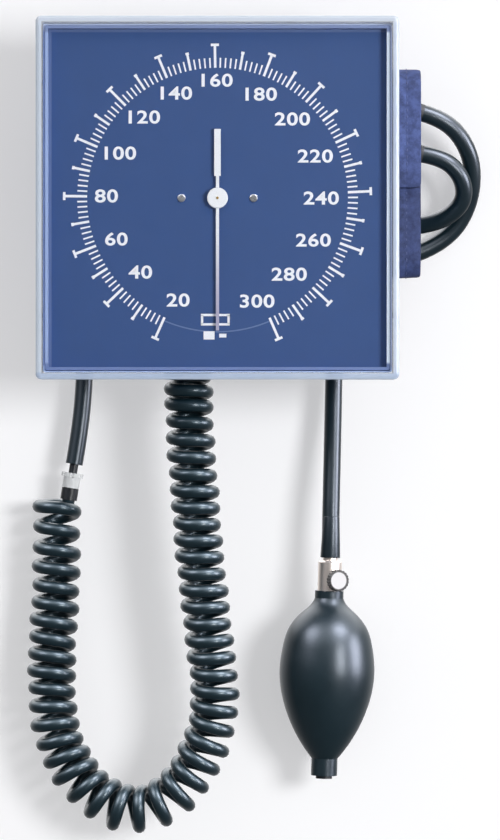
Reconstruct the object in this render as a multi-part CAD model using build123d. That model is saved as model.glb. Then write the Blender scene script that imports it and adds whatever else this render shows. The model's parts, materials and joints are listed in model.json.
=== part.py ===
"""Wall-mounted aneroid sphygmomanometer: a square dial head in front of a cuff basket, with a
folded cuff, two plain hoses, one curly hose, and a squeeze bulb with its release valve.

Millimetres. The wall is the plane y = 0 and the front looks along -Y, so a depth below is the
distance out from the wall and y is minus that depth. X runs to the right, Z up, and the origin
is the point of the wall behind the dial's centre, in the middle of the four wall screws.
"""

from build123d import *
import math
import os

# Wall plate and its screw pattern
plate_width = 110.0
plate_height = 96.0
plate_thick = 2.0
plate_corner = 5.0
wall_screw_x = 70.0
wall_screw_z = 60.0
wall_screw_radius = 2.25
hook_x = 24.0
hook_z = 20.0
hook_width = 12.0
hook_neck = 3.0
hook_rise = 6.0
hook_thick = 1.8
lock_screw_rise = 3.7

# Cuff basket
basket_left = -76.0
basket_right = 76.0
basket_top = 46.0
basket_wall = 2.5
basket_corner = 4.0
screw_access_radius = 5.0
hose_bay = 9.2
hose_slot_width = 22.0

# Folded cuff
cuff_right = 97.5
cuff_width = 145.0
cuff_top = 65.6
cuff_height = 103.0
cuff_thick = 24.2
cuff_round = 5.0
bladder_thick = 5.0
bladder_margin = 9.0
bladder_corner = 6.0
port_wall = 1.4
hook_strip_width = 90.0
hook_strip_height = 38.0
hook_strip_thick = 0.6

# Head: clear cover and case
cover_side = 171.0
cover_front_thick = 3.0
cover_wall = 3.0
cover_corner = 2.6
cover_inner_corner = 1.4
shell_gap = 0.3
cover_edge = 1.8
cover_screw_z = 110.0
cover_screw_radius = 1.2
cover_screw_inset = 5.5
case_wall = 3.0
case_lip = 0.6
rear_side = 140.0
rear_depth = 14.5
rear_wall = 2.5
case_screw_x = 110.0
case_screw_low = -30.0
case_screw_high = 30.0
case_screw_radius = 1.5
case_boss_height = 6.0

slot_width = 0.6

# Dial and pointer
dial_gap = 0.1
dial_thick = 1.0
dial_edge = 0.4
dial_corner = 0.8
frame_width = 1.4
needle_length = 62.4
needle_width = 1.5
tail_neck = 10.4
tail_length = 32.5
tail_width = 3.1
pointer_thick = 0.6
pointer_hub_radius = 4.9
pointer_hub_height = 1.1
pointer_clearance = 1.6

# Movement
gear_module = 0.5
pinion_teeth = 10
sector_ratio = 10
gear_thick = 1.0
pinion_overhang = 0.3
gear_backlash = 0.18
gear_depth_gap = 0.03
sector_lift = 2.1
scale_sweep = 337.5
arbor_radius = 0.6
sector_arbor_radius = 0.8
movement_plate_thick = 1.3
movement_plate_margin = 5.0
upper_pillar_x = 17.0
lower_pillar_x = 24.0
lower_pillar_z = -33.0
pillar_radius = 2.2
post_radius = 2.6
screw_stem_radius = 1.0
dial_standoff = 2.2
shaft_radius = 0.8
shaft_rise = 3.5
lift_arm = 5.0
drive_arm = 6.0
tail_arm = 4.0
lever_thick = 0.8
lever_width = 1.2
tail_pin_radius = 0.4
tail_pin_reach = 0.7
push_pin_radius = 0.5
running_gap = 0.05
contact_gap = 0.12
spring_turns = 4
spring_strip = 0.2
spring_height = 0.5
spring_gap = 0.65
spring_pitch = 1.1
spring_stud_radius = 0.35
collet_radius = 1.4

# Capsule and pressure inlet
capsule_radius = 21.0
capsule_shell = 2.0
capsule_wall = 0.4
capsule_seat = 0.3
manifold_thick = 3.6
manifold_width = 8.0
channel_radius = 1.0
barb_x = -14.5
barb_off_floor = 3.5
barb_radius = 2.1
barb_ridge = 0.35
barb_bore = 1.1
barb_length = 6.5
inlet_stud_radius = 3.0
inlet_stud_reach = 5.5
inlet_boss_height = 9.0
nut_across = 10.0
nut_thick = 2.2

# Hoses
hose_diameter = 8.4
hose_swell = 0.6
hose_swell_length = 12.0
coil_tube_diameter = 6.2
coil_diameter = 23.6

# Luer connector between the cuff hose and the curly hose
connector_tilt = 9.0
neck_radius = 2.1
neck_length = 4.35
tip_barb_length = 8.0
collar_flange_radius = 5.4
collar_flange_thick = 2.0
collar_radius = 4.15
collar_length = 7.2
collar_wall = 0.85
collar_grip_count = 8
taper_radius = 1.95
taper_narrowing = 0.15
air_bore = 0.8
end_fitting_radius = 4.1
end_fitting_length = 5.7

# Release valve
bulb_tilt = 1.65
valve_radius = 5.7
valve_length = 15.9
valve_neck_radius = 3.6
valve_neck = 1.4
valve_bore = 1.3
valve_stem = 8.5
valve_barb_radius = 2.2
valve_barb_length = 9.0
thumb_turn = 24.0
thumb_drop = 10.6
thumb_radius = 5.2
thumb_thick = 4.0
thumb_grip_count = 20
thumb_stem_radius = 1.5
thumb_gap = 0.3
boss_radius = 3.6
boss_reach = 7.0
ring_thick = 0.5

# Bulb and its intake valve
bulb_width = 45.8
bulb_length = 89.0
bulb_wall = 2.6
neck_outer = 6.9
neck_bore = 4.4
tail_outer = 6.3
tail_bore = 4.0
bulb_neck_length = 3.6
bulb_tail_length = 8.2
intake_end_radius = 4.0
intake_end_length = 1.5
intake_plug_length = 9.5
intake_seat_height = 5.5
intake_bore = 1.2
check_disc_radius = 2.6
check_disc_thick = 0.8
check_lift = 0.6
check_gap = 0.05
check_ring = 0.8
check_ring_bore = 1.4
check_chamber_gap = 0.45

# The bulb's outline: shares of its half width against shares of its length from the neck
bulb_shape = [
    (0.366, 0.072),
    (0.546, 0.116),
    (0.82, 0.202),
    (0.958, 0.325),
    (1.0, 0.44),
    (0.95, 0.556),
    (0.80, 0.682),
    (0.545, 0.812),
    (0.37, 0.877),
]

# Places that follow from the sizes above
hose_bay_floor = plate_thick + basket_wall
cuff_back_depth = hose_bay_floor + hose_bay + hook_strip_thick
cuff_front_depth = cuff_back_depth + cuff_thick
basket_front_inner = cuff_front_depth + 0.3
case_back_depth = basket_front_inner + basket_wall
case_floor = case_back_depth + rear_wall
step_depth = case_back_depth + rear_depth
cuff_bottom = cuff_top - cuff_height
cuff_left = cuff_right - cuff_width
floor_top = cuff_bottom - 0.3
floor_low = floor_top - basket_wall
cover_half = cover_side / 2
cover_inner_half = cover_half - cover_wall
case_half = cover_inner_half - shell_gap
dial_side = 2 * (case_half - case_lip - dial_gap)
barb_depth = case_floor + barb_off_floor
manifold_top = case_floor + manifold_thick
capsule_rear_depth = manifold_top + capsule_seat
capsule_rim_depth = capsule_rear_depth + capsule_shell
capsule_front_depth = capsule_rim_depth + capsule_shell
shaft_depth = capsule_front_depth + shaft_rise
drive_reach = drive_arm + 0.3
sector_depth = shaft_depth + drive_reach + 0.4
gear_bay = sector_depth - sector_lift
rear_plate_depth = gear_bay - movement_plate_thick
pinion_top = sector_depth + gear_thick + pinion_overhang
spring_depth = pinion_top + spring_gap
front_plate_depth = spring_depth + spring_height + spring_gap
front_plate_top = front_plate_depth + movement_plate_thick
dial_back_depth = front_plate_top + dial_standoff
dial_front_depth = dial_back_depth + dial_thick
pointer_depth = dial_front_depth + pointer_clearance
hub_top_depth = pointer_depth + pointer_thick + pointer_hub_height
cover_inside_depth = hub_top_depth + 1.6
cover_front_depth = cover_inside_depth + cover_front_thick
pinion_pitch = gear_module * pinion_teeth / 2
sector_pitch = pinion_pitch * sector_ratio
pivot_z = -(pinion_pitch + sector_pitch + gear_depth_gap)
sector_sweep = scale_sweep / sector_ratio
rocker_sweep = sector_sweep * tail_arm / drive_arm
capsule_z = pivot_z + lift_arm
lock_screw_z = floor_top + lock_screw_rise
rear_floor_z = -rear_side / 2
nut_low_z = rear_floor_z - nut_thick
valve_end = valve_length + valve_stem

# Hose routes as x, depth, z. Both hoses leave the cuff's ports, loop out to the right and go
# back behind the cuff, then down through the basket's floor. The curly hose hangs in a long U.
bulb_route = [
    (98.6, 26.2, 43.2),
    (108.0, 25.6, 40.4),
    (117.8, 21.8, 31.6),
    (123.4, 16.2, 18.4),
    (122.6, 9.4, 2.4),
    (115.6, 5.6, -12.0),
    (102.6, 6.2, -21.6),
    (87.0, 8.6, -26.4),
    (71.5, 9.1, -30.6),
    (59.6, 9.1, -41.5),
    (56.4, 10.2, -60.0),
    (55.8, 13.2, -92.0),
    (54.8, 20.6, -132.0),
    (54.2, 24.0, -155.0),
    (54.0, 24.2, -171.0),
]
cuff_route = [
    (98.6, 26.2, 23.4),
    (108.6, 25.8, 21.6),
    (117.4, 23.6, 13.2),
    (119.4, 19.0, 2.4),
    (112.6, 15.6, -5.8),
    (102.0, 10.8, -9.8),
    (88.0, 9.1, -11.4),
    (62.0, 9.1, -8.4),
    (32.0, 9.1, -10.0),
    (0.0, 9.1, -7.6),
    (-32.0, 9.1, -9.0),
    (-53.0, 9.1, -17.5),
    (-63.6, 9.2, -34.5),
    (-64.8, 9.6, -58.0),
    (-64.8, 10.6, -83.0),
    (-66.8, 12.6, -108.0),
    (-69.9, 13.6, -126.0),
]
coil_route = [
    (-14.8, 42.3, -79.5),
    (-13.4, 42.2, -108.0),
    (-11.4, 41.7, -140.0),
    (-8.4, 40.6, -172.0),
    (-5.2, 39.8, -204.0),
    (-1.2, 38.2, -228.0),
    (-2.4, 36.4, -252.0),
    (-11.0, 34.2, -272.6),
    (-22.0, 32.2, -285.6),
    (-34.5, 30.4, -291.8),
    (-48.0, 28.4, -291.4),
    (-60.5, 26.6, -284.6),
    (-71.0, 24.6, -272.4),
    (-79.6, 22.0, -251.8),
    (-81.0, 19.8, -226.0),
    (-79.0, 17.8, -198.0),
    (-78.4, 16.4, -171.0),
    (-77.8, 15.6, -144.5),
]


# Shapes placed by their depth from the wall
def slab(x_low, x_high, depth_low, depth_high, z_low, z_high):
    """A block between two x, two depths and two z."""
    centre = Pos((x_low + x_high) / 2, -(depth_low + depth_high) / 2, (z_low + z_high) / 2)
    return centre * Box(x_high - x_low, depth_high - depth_low, z_high - z_low)


def face_plane(depth, x=0.0, z=0.0):
    """A plane that looks to the front at a depth; its local y is up."""
    return Plane(origin=(x, -depth, z), x_dir=(1, 0, 0), z_dir=(0, -1, 0))


def disc(x, z, depth_low, depth_high, radius):
    """A round bar from one depth to another."""
    return extrude(face_plane(depth_low, x, z) * Circle(radius), depth_high - depth_low)


def square(side, depth_low, depth_high, corner):
    """A square block with rounded corners about the dial's axis."""
    outline = face_plane(depth_low) * RectangleRounded(side, side, corner)
    return extrude(outline, depth_high - depth_low)


def upright(x, depth, z_low, z_high, radius):
    """A vertical round bar."""
    return Pos(x, -depth, (z_low + z_high) / 2) * Cylinder(radius, z_high - z_low)


def crossbar(x_low, x_high, depth, z, radius):
    """A round bar along X."""
    place = Pos((x_low + x_high) / 2, -depth, z) * Rot(0, 90, 0)
    return place * Cylinder(radius, x_high - x_low)


def column(low, high, radius):
    """A round bar on the local Z axis."""
    return Pos(0, 0, (low + high) / 2) * Cylinder(radius, high - low)


def countersunk_screw(radius, length, head_radius, head_height):
    """A flat-headed screw whose head's top is at z = 0 and whose tip is at z = -length."""
    head = Pos(0, 0, -head_height / 2) * Cone(radius, head_radius, head_height)
    slot = Pos(0, 0, -head_height / 4) * Box(3 * head_radius, slot_width, head_height / 2 + 0.01)
    return head + column(-length, -head_height, radius) - slot


def barb(low, high, radius, bore):
    """A hose barb on the local Z axis with two ridges and a bore."""
    body = column(low, high, radius)
    for share in (0.35, 0.8):
        middle = low + (high - low) * share
        body += Pos(0, 0, middle) * Cone(radius + barb_ridge, radius, 1.2)
    return body - column(low - 1, high + 1, bore)


def route_points(route):
    """The route's points in the model's own axes."""
    return [Vector(x, -depth, z) for x, depth, z in route]


def bend_radii(points):
    """The arc at each corner is as large as its two runs allow."""
    radii = []
    for before, corner, after in zip(points, points[1:], points[2:]):
        arriving = corner - before
        leaving = after - corner
        half_turn = math.radians(arriving.get_angle(leaving)) / 2
        shorter = min(arriving.length, leaving.length)
        radii.append(0.45 * shorter / math.tan(half_turn))
    return radii


def hose(name, route, diameter):
    """A solid tube along straight runs joined by tangent arcs."""
    points = route_points(route)
    radii = bend_radii(points)
    path = FilletPolyline(*points, radius=radii)
    start = Plane(origin=points[0], z_dir=points[1] - points[0])
    tube = sweep(start * Circle(diameter / 2), path=path)
    share = tube.volume / (math.pi * diameter**2 / 4 * path.length)
    print(name, "length", round(path.length, 1), "volume share", round(share, 4))
    print(name, "bend radii", [round(radius, 1) for radius in radii])
    return tube


# Wall plate and basket
def wall_screw_places():
    return [(sx * wall_screw_x / 2, sz * wall_screw_z / 2) for sx in (-1, 1) for sz in (-1, 1)]


def make_wall_plate():
    """A steel plate with four wall screw holes, two hooks for the basket and a lock hole."""
    outline = face_plane(0) * RectangleRounded(plate_width, plate_height, plate_corner)
    plate = extrude(outline, plate_thick)
    for x, z in wall_screw_places():
        plate -= disc(x, z, -1, plate_thick + 1, wall_screw_radius)
    plate -= disc(0, lock_screw_z, -1, plate_thick + 1, case_screw_radius)
    lip_low = hose_bay_floor + 0.2
    lip_high = lip_low + hook_thick
    for side in (-1, 1):
        left = side * hook_x - hook_width / 2
        right = left + hook_width
        plate += slab(left, right, plate_thick, lip_high, hook_z, hook_z + hook_neck)
        plate += slab(left, right, lip_low, lip_high, hook_z, hook_z + hook_neck + hook_rise)
    return plate


def make_cuff_basket():
    """An open-topped basket whose right side is open too, so that the cuff can stand out."""
    outer = slab(
        basket_left, basket_right, plate_thick, case_back_depth, floor_low, basket_top
    )
    outer = fillet(outer.edges().filter_by(Axis.Y).group_by(Axis.X)[0], basket_corner)
    basket = outer - slab(
        basket_left + basket_wall,
        basket_right + 1,
        hose_bay_floor,
        basket_front_inner,
        floor_top,
        basket_top + 1,
    )
    back_low = plate_thick - 1
    back_high = hose_bay_floor + 1
    for x, z in wall_screw_places():
        basket -= disc(x, z, back_low, back_high, screw_access_radius)
    for side in (-1, 1):
        left = side * hook_x - hook_width / 2 - 0.5
        right = left + hook_width + 1
        top = hook_z + hook_neck + 0.3
        basket -= slab(left, right, back_low, back_high, top - hook_rise - hook_neck, top)
    basket -= disc(0, lock_screw_z, back_low, back_high, case_screw_radius)
    for x, z in case_screw_places():
        basket -= case_screw_sink(x, z)
    for x in hose_slot_places():
        basket -= slab(
            x - hose_slot_width / 2,
            x + hose_slot_width / 2,
            hose_bay_floor,
            cuff_back_depth,
            floor_low - 1,
            floor_top + 1,
        )
    return basket


def hose_slot_places():
    """The middle of each floor slot, in x: one for the cuff hose and one for the bulb hose."""
    return basket_left + basket_wall + hose_slot_width / 2 - 0.01, bulb_route[9][0]


def make_basket_lock_screw():
    head_top = hose_bay_floor + 1.4
    stem = disc(0, lock_screw_z, 0.2, hose_bay_floor, case_screw_radius)
    head = disc(0, lock_screw_z, hose_bay_floor, head_top, 2 * case_screw_radius)
    slot = slab(
        -case_screw_radius,
        case_screw_radius,
        head_top - 0.7,
        head_top + 1,
        lock_screw_z - 0.4,
        lock_screw_z + 0.4,
    )
    return stem + head - slot


# Folded cuff
def port_bar(route, radius, low, high):
    """A round bar along a hose's first run; low and high count from the hose's start."""
    points = route_points(route)
    start = Plane(origin=points[0], z_dir=points[1] - points[0])
    return start * column(low, high, radius)


def bladder_box(extra):
    """The flat bladder inside the folded cuff, larger by extra on every side."""
    middle = bulb_route[0][1]
    return slab(
        cuff_left + bladder_margin - extra,
        cuff_right - bladder_margin + extra,
        middle - bladder_thick / 2 - extra,
        middle + bladder_thick / 2 + extra,
        cuff_bottom + bladder_margin - extra,
        cuff_top - bladder_margin + extra,
    )


def make_cuff_sleeve():
    """The folded cuff as one plain soft block with the bladder's pocket in it."""
    body = slab(
        cuff_left, cuff_right, cuff_back_depth, cuff_front_depth, cuff_bottom, cuff_top
    )
    body = fillet(body.edges().filter_by(Axis.X), cuff_round)
    body = fillet(body.edges().filter_by(Axis.Z).group_by(Axis.X)[-1], cuff_round)
    body -= bladder_box(0.3)
    for route in (bulb_route, cuff_route):
        body -= port_bar(route, hose_diameter / 2 + 0.3, -bladder_margin - 4, 4)
    return body


def make_cuff_bladder():
    """The rubber bladder with its two tube ports, which reach the cuff's right edge."""
    bladder = fillet(bladder_box(0).edges().filter_by(Axis.Y), bladder_corner)
    for route in (bulb_route, cuff_route):
        bladder += port_bar(route, hose_diameter / 2, -bladder_margin - 3, 0)
    for route in (bulb_route, cuff_route):
        bladder -= port_bar(route, hose_diameter / 2 - port_wall, -bladder_margin - 1, 1)
    return bladder


def make_cuff_hook_strip():
    middle = (cuff_left + cuff_right) / 2
    high = cuff_top - cuff_round - 1
    return slab(
        middle - hook_strip_width / 2,
        middle + hook_strip_width / 2,
        cuff_back_depth - hook_strip_thick,
        cuff_back_depth,
        high - hook_strip_height,
        high,
    )


# Head shells
def cover_screw_places():
    return [(side, up * cover_screw_z / 2) for side in (-1, 1) for up in (-1, 1)]


def case_screw_places():
    return [(sx * case_screw_x / 2, z) for sx in (-1, 1) for z in (case_screw_low, case_screw_high)]


def case_screw_sink(x, z):
    """The countersunk hole of a case screw through the basket's front wall."""
    hole = disc(x, z, basket_front_inner - 1, case_back_depth + 1, case_screw_radius + running_gap)
    sink = Rot(90, 0, 0) * Cone(case_screw_radius + 1.5, case_screw_radius, 1.5)
    return hole + Pos(x, -(basket_front_inner + 0.75), z) * sink


def make_clear_cover():
    """The clear box that covers the dial; its four walls slide over the case."""
    cover = square(cover_side, step_depth, cover_front_depth, cover_corner)
    cover = fillet(cover.faces().sort_by(Axis.Y)[0].edges(), cover_edge)
    cover -= square(
        2 * cover_inner_half, step_depth - 1, cover_inside_depth, cover_inner_corner
    )
    depth = step_depth + cover_screw_inset
    for side, z in cover_screw_places():
        low, high = sorted((side * (cover_inner_half - 1), side * (cover_half + 1)))
        cover -= crossbar(low, high, depth, z, cover_screw_radius + running_gap)
        sink = Cone(cover_screw_radius, cover_screw_radius + 1.3, 1.3)
        cover -= Pos(side * (cover_half - 0.65), -depth, z) * Rot(0, side * 90, 0) * sink
    return cover


def make_cover_screws():
    length = cover_half - case_half + case_wall
    screw = countersunk_screw(cover_screw_radius, length, cover_screw_radius + 1.1, 1.1)
    depth = step_depth + cover_screw_inset
    places = [
        Pos(side * (cover_half - 0.2), -depth, z) * Rot(0, side * 90, 0)
        for side, z in cover_screw_places()
    ]
    return Compound([place * screw for place in places])


def make_case_tray():
    """The case: a narrower rear box, a step, and the band that the cover slides over."""
    outer_corner = cover_inner_corner - shell_gap
    tray = square(rear_side, case_back_depth, step_depth, 6)
    tray += square(2 * case_half, step_depth, dial_front_depth + 0.8, outer_corner)
    tray -= square(2 * (case_half - case_lip), dial_back_depth, dial_front_depth + 2, dial_corner)
    tray -= square(
        2 * (case_half - case_wall), step_depth + rear_wall, dial_back_depth + 1, 2
    )
    tray -= square(rear_side - 2 * rear_wall, case_floor, step_depth + rear_wall + 1, 4)
    for x, z in case_screw_places():
        tray += disc(
            x, z, case_floor, case_floor + case_boss_height, case_screw_radius + 2.5
        )
        tray -= disc(
            x, z, case_back_depth - 1, case_floor + case_boss_height - 1, case_screw_radius
        )
    for side, z in cover_screw_places():
        low, high = sorted((side * (case_half - case_wall - 1), side * (case_half + 1)))
        depth = step_depth + cover_screw_inset
        tray -= crossbar(low, high, depth, z, cover_screw_radius)
    tray -= upright(
        barb_x, barb_depth, rear_floor_z - 1, rear_floor_z + rear_wall + 1, inlet_stud_radius
    )
    return tray


def make_case_screws():
    length = basket_wall + rear_wall + case_boss_height - 2
    screw = countersunk_screw(case_screw_radius, length, case_screw_radius + 1.4, 1.4)
    places = [
        Pos(x, -(basket_front_inner + 0.1), z) * Rot(90, 0, 0) * Rot(180, 0, 0)
        for x, z in case_screw_places()
    ]
    return Compound([place * screw for place in places])


def make_dial_plate():
    dial = square(dial_side, dial_back_depth, dial_front_depth, dial_corner)
    dial = chamfer(dial.faces().sort_by(Axis.Y)[0].edges(), dial_edge)
    dial -= disc(0, 0, dial_back_depth - 1, dial_front_depth + 1, arbor_radius + 1.2)
    for x in (-upper_pillar_x, upper_pillar_x):
        dial -= disc(
            x, 0, dial_back_depth - 1, dial_front_depth + 1, screw_stem_radius + 0.1
        )
    return dial


def make_dial_frame():
    """The thin spacer that holds the dial's edge down under the cover."""
    side = dial_side - 2 * dial_edge
    ring = square(side, dial_front_depth, cover_inside_depth - 0.1, dial_corner)
    inner = side - 2 * frame_width
    return ring - square(inner, dial_front_depth - 1, cover_inside_depth + 1, dial_corner / 2)


# Pointer, its arbor and the dial's screws
def make_pointer():
    top = pointer_depth + pointer_thick
    pointer = slab(
        -needle_width / 2, needle_width / 2, pointer_depth, top, -needle_length, tail_neck
    )
    pointer += slab(-tail_width / 2, tail_width / 2, pointer_depth, top, tail_neck, tail_length)
    hub = disc(0, 0, pointer_depth - 0.5, hub_top_depth, pointer_hub_radius)
    hub = fillet(hub.faces().sort_by(Axis.Y)[0].edges(), 0.4)
    return pointer + hub - disc(0, 0, pointer_depth - 2, hub_top_depth + 1, arbor_radius)


def make_pointer_arbor():
    return disc(0, 0, rear_plate_depth + 0.1, hub_top_depth + 0.4, arbor_radius)


def make_dial_screws():
    screws = []
    for x in (-upper_pillar_x, upper_pillar_x):
        head_top = dial_front_depth + 0.9
        head = disc(x, 0, dial_front_depth, head_top, 1.9)
        head = fillet(head.faces().sort_by(Axis.Y)[0].edges(), 0.4)
        groove = slab(x - 2, x + 2, head_top - 0.35, head_top + 1, -0.25, 0.25)
        stem = disc(x, 0, front_plate_depth - 2, dial_front_depth, screw_stem_radius)
        screws.append(stem + head - groove)
    return Compound(screws)


def make_dial_standoffs():
    sleeves = []
    for x in (-upper_pillar_x, upper_pillar_x):
        sleeve = disc(x, 0, front_plate_top, dial_back_depth, pillar_radius)
        sleeves.append(sleeve - disc(x, 0, 0, dial_front_depth, screw_stem_radius))
    return Compound(sleeves)


# Gear train
def tooth(pitch, teeth_round, outer, root):
    """One involute tooth that points along local X, as a face."""
    pressure = math.radians(20)
    base = pitch * math.cos(pressure)
    half_at_pitch = math.pi / (2 * teeth_round) - gear_backlash / (2 * pitch)
    spread = math.tan(pressure) - pressure
    low = max(root, base)
    flank = []
    for step in range(6):
        radius = low + (outer - low) * step / 5
        turn = math.acos(min(1.0, base / radius))
        half = half_at_pitch + spread - (math.tan(turn) - turn)
        flank.append((radius * math.cos(half), radius * math.sin(half)))
    flank.insert(0, (root - 0.2, flank[0][1]))
    mirrored = [(x, -y) for x, y in reversed(flank)]
    return make_face(Polyline(*flank, *mirrored, close=True))


def make_pinion():
    """In mesh at zero, so the gap that faces the sector in mid travel is turned by half the sweep."""
    outer = pinion_pitch + gear_module * 0.9
    root = pinion_pitch - gear_module * 1.2
    wheel = Sketch() + Circle(root)
    for number in range(pinion_teeth):
        angle = -90 + scale_sweep / 2 + 360 / pinion_teeth * (number + 0.5)
        wheel += Rot(0, 0, angle) * tooth(pinion_pitch, pinion_teeth, outer, root)
    wheel -= Circle(arbor_radius)
    low = sector_depth - pinion_overhang
    return extrude(face_plane(low) * wheel, pinion_top - low)


def sector_frame(depth):
    """A front-facing plane on the sector's pivot, turned as the sector stands at zero."""
    return face_plane(depth, 0, pivot_z) * Rot(0, 0, -sector_sweep / 2)


def make_sector_gear():
    teeth_round = pinion_teeth * sector_ratio
    step = 360 / teeth_round
    half_count = math.ceil(sector_sweep / 2 / step) + 1
    outer = sector_pitch + gear_module * 0.9
    root = sector_pitch - gear_module * 1.2
    inner = root - 3
    half_angle = math.radians(step * (half_count + 0.5))
    far = 2 * sector_pitch
    wedge = make_face(
        Polyline(
            (0, 0),
            (far * math.sin(half_angle), far * math.cos(half_angle)),
            (-far * math.sin(half_angle), far * math.cos(half_angle)),
            close=True,
        )
    )
    hub_radius = sector_arbor_radius + 1.6
    gear = (Circle(root) - Circle(inner)) & wedge
    gear += Pos(0, inner / 2 + 0.5) * Rectangle(5, inner + 1)
    gear += Circle(hub_radius)
    gear += Pos(-tail_arm / 2 - 0.5, 0) * Rectangle(tail_arm + 1, 2.2)
    for number in range(-half_count, half_count + 1):
        gear += Rot(0, 0, 90 + number * step) * tooth(sector_pitch, teeth_round, outer, root)
    gear -= Circle(sector_arbor_radius)
    gear -= Pos(-tail_arm, 0) * Circle(tail_pin_radius)
    return extrude(sector_frame(sector_depth) * gear, gear_thick)


def make_sector_pin():
    low = shaft_depth + drive_reach - tail_pin_reach
    circle = sector_frame(low) * Pos(-tail_arm, 0) * Circle(tail_pin_radius)
    return extrude(circle, sector_depth + gear_thick - low)


def make_sector_arbor():
    low = rear_plate_depth + 0.1
    return disc(0, pivot_z, low, front_plate_top - 0.1, sector_arbor_radius)


def rocker_frame():
    """The rocking shaft's middle, turned as the levers stand at zero."""
    return Pos(0, -shaft_depth, pivot_z) * Rot(-rocker_sweep / 2, 0, 0)


def make_rocking_shaft():
    return crossbar(-tail_arm - 4, lift_arm, shaft_depth, pivot_z, shaft_radius)


def make_lift_lever():
    """The lever that the capsule's pin pushes; it stands up from the shaft."""
    hub = Rot(0, 90, 0) * Cylinder(2 * shaft_radius, 2)
    blade = Pos(0, 0, (lift_arm + 0.8) / 2) * Box(2, lever_thick, lift_arm + 0.8)
    bore = Rot(0, 90, 0) * Cylinder(shaft_radius, 4)
    return rocker_frame() * (hub + blade - bore)


def make_drive_lever():
    """The lever that reaches forward over the sector's pin."""
    rise = tail_pin_radius + contact_gap
    hub = Rot(0, 90, 0) * Cylinder(2 * shaft_radius, lever_width)
    blade = Pos(0, -drive_reach / 2, rise + lever_thick / 2) * Box(
        lever_width, drive_reach, lever_thick
    )
    bore = Rot(0, 90, 0) * Cylinder(shaft_radius, 4)
    return rocker_frame() * Pos(-tail_arm, 0, 0) * (hub + blade - bore)


def make_rocker_brackets():
    """Two cheeks under the rear plate that carry the rocking shaft."""
    cheeks = []
    for left in (-tail_arm - 3.2, lift_arm - 2.4):
        low = shaft_depth - 2 * shaft_radius
        cheek = slab(left, left + 1.2, low, rear_plate_depth, pivot_z - 2, pivot_z + 2)
        bore = crossbar(left - 1, left + 2, shaft_depth, pivot_z, shaft_radius + running_gap)
        cheeks.append(cheek - bore)
    return Compound(cheeks)


def make_hairspring():
    """A flat spiral of half rings round the arbor, with its collet."""
    turns = Sketch() + Circle(collet_radius) - Circle(arbor_radius + 0.01)
    half_strip = spring_strip / 2
    for number in range(2 * spring_turns):
        radius = collet_radius + half_strip / 2 + number * spring_pitch / 2
        odd = number % 2
        ring = Pos(odd * spring_pitch / 2, 0) * (
            Circle(radius + half_strip) - Circle(radius - half_strip)
        )
        reach = 2 * spring_end_x()
        side = Pos(0, reach / 2 * (1 - 2 * odd)) * Rectangle(2 * reach, reach)
        turns += ring & side
    return extrude(face_plane(spring_depth) * turns, spring_height)


def spring_end_x():
    """Where the spiral's outer end lies, on the right of the arbor."""
    return collet_radius + spring_strip / 4 + spring_turns * spring_pitch


# Movement frame
def pillar_places():
    upper = [(-upper_pillar_x, 0.0), (upper_pillar_x, 0.0)]
    lower = [(-lower_pillar_x, lower_pillar_z), (lower_pillar_x, lower_pillar_z)]
    return upper + lower


def movement_plate(depth):
    """A brass plate with the holes that both plates share."""
    half_width = lower_pillar_x + movement_plate_margin
    high = movement_plate_margin
    low = lower_pillar_z - movement_plate_margin
    top = depth + movement_plate_thick
    plate = slab(-half_width, half_width, depth, top, low, high)
    plate = fillet(plate.edges().filter_by(Axis.Y), 3)
    plate -= disc(0, 0, depth - 1, top + 1, arbor_radius + running_gap)
    plate -= disc(0, pivot_z, depth - 1, top + 1, sector_arbor_radius + running_gap)
    for x, z in pillar_places():
        plate -= disc(x, z, depth - 1, top + 1, screw_stem_radius)
    return plate


def make_front_plate():
    plate = movement_plate(front_plate_depth)
    stud_x = spring_end_x() + spring_strip / 2 + spring_stud_radius
    return plate + disc(stud_x, 0, spring_depth, front_plate_depth + 0.1, spring_stud_radius)


def make_rear_plate():
    """The rear plate has a slot for the drive lever."""
    plate = movement_plate(rear_plate_depth)
    return plate - slab(
        -tail_arm - 1.1,
        -tail_arm + 1.1,
        rear_plate_depth - 1,
        gear_bay + 1,
        pivot_z - 1.4,
        pivot_z + 3.4,
    )


def make_movement_pillars():
    """Posts between the two plates, each with a stud that goes down into the post below."""
    pillars = []
    for x, z in pillar_places():
        pillar = disc(x, z, gear_bay, front_plate_depth, pillar_radius)
        pillar += disc(x, z, rear_plate_depth - 5, gear_bay, screw_stem_radius)
        pillar -= disc(x, z, front_plate_depth - 3, front_plate_depth + 1, screw_stem_radius)
        pillars.append(pillar)
    return Compound(pillars)


def make_movement_posts():
    """Posts from the case's floor up to the rear plate."""
    posts = []
    for x, z in pillar_places():
        post = disc(x, z, case_floor, rear_plate_depth, post_radius)
        post -= disc(x, z, rear_plate_depth - 5, rear_plate_depth + 1, screw_stem_radius)
        posts.append(post)
    return Compound(posts)


def make_movement_screws():
    """The two lower screws; the dial's own screws hold the upper pillars."""
    screws = []
    for x, z in pillar_places()[2:]:
        head_top = front_plate_top + 1
        screw = disc(x, z, front_plate_top, head_top, 1.9)
        screw += disc(x, z, front_plate_depth - 2.5, front_plate_top, screw_stem_radius)
        screw -= slab(x - 2, x + 2, head_top - 0.4, head_top + 1, z - 0.25, z + 0.25)
        screws.append(screw)
    return Compound(screws)


# Capsule and pressure inlet
def capsule_frame(depth):
    """Local Z points to the front on the capsule's axis."""
    return Plane(origin=(0, -depth, capsule_z), x_dir=(1, 0, 0), z_dir=(0, -1, 0))


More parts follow.
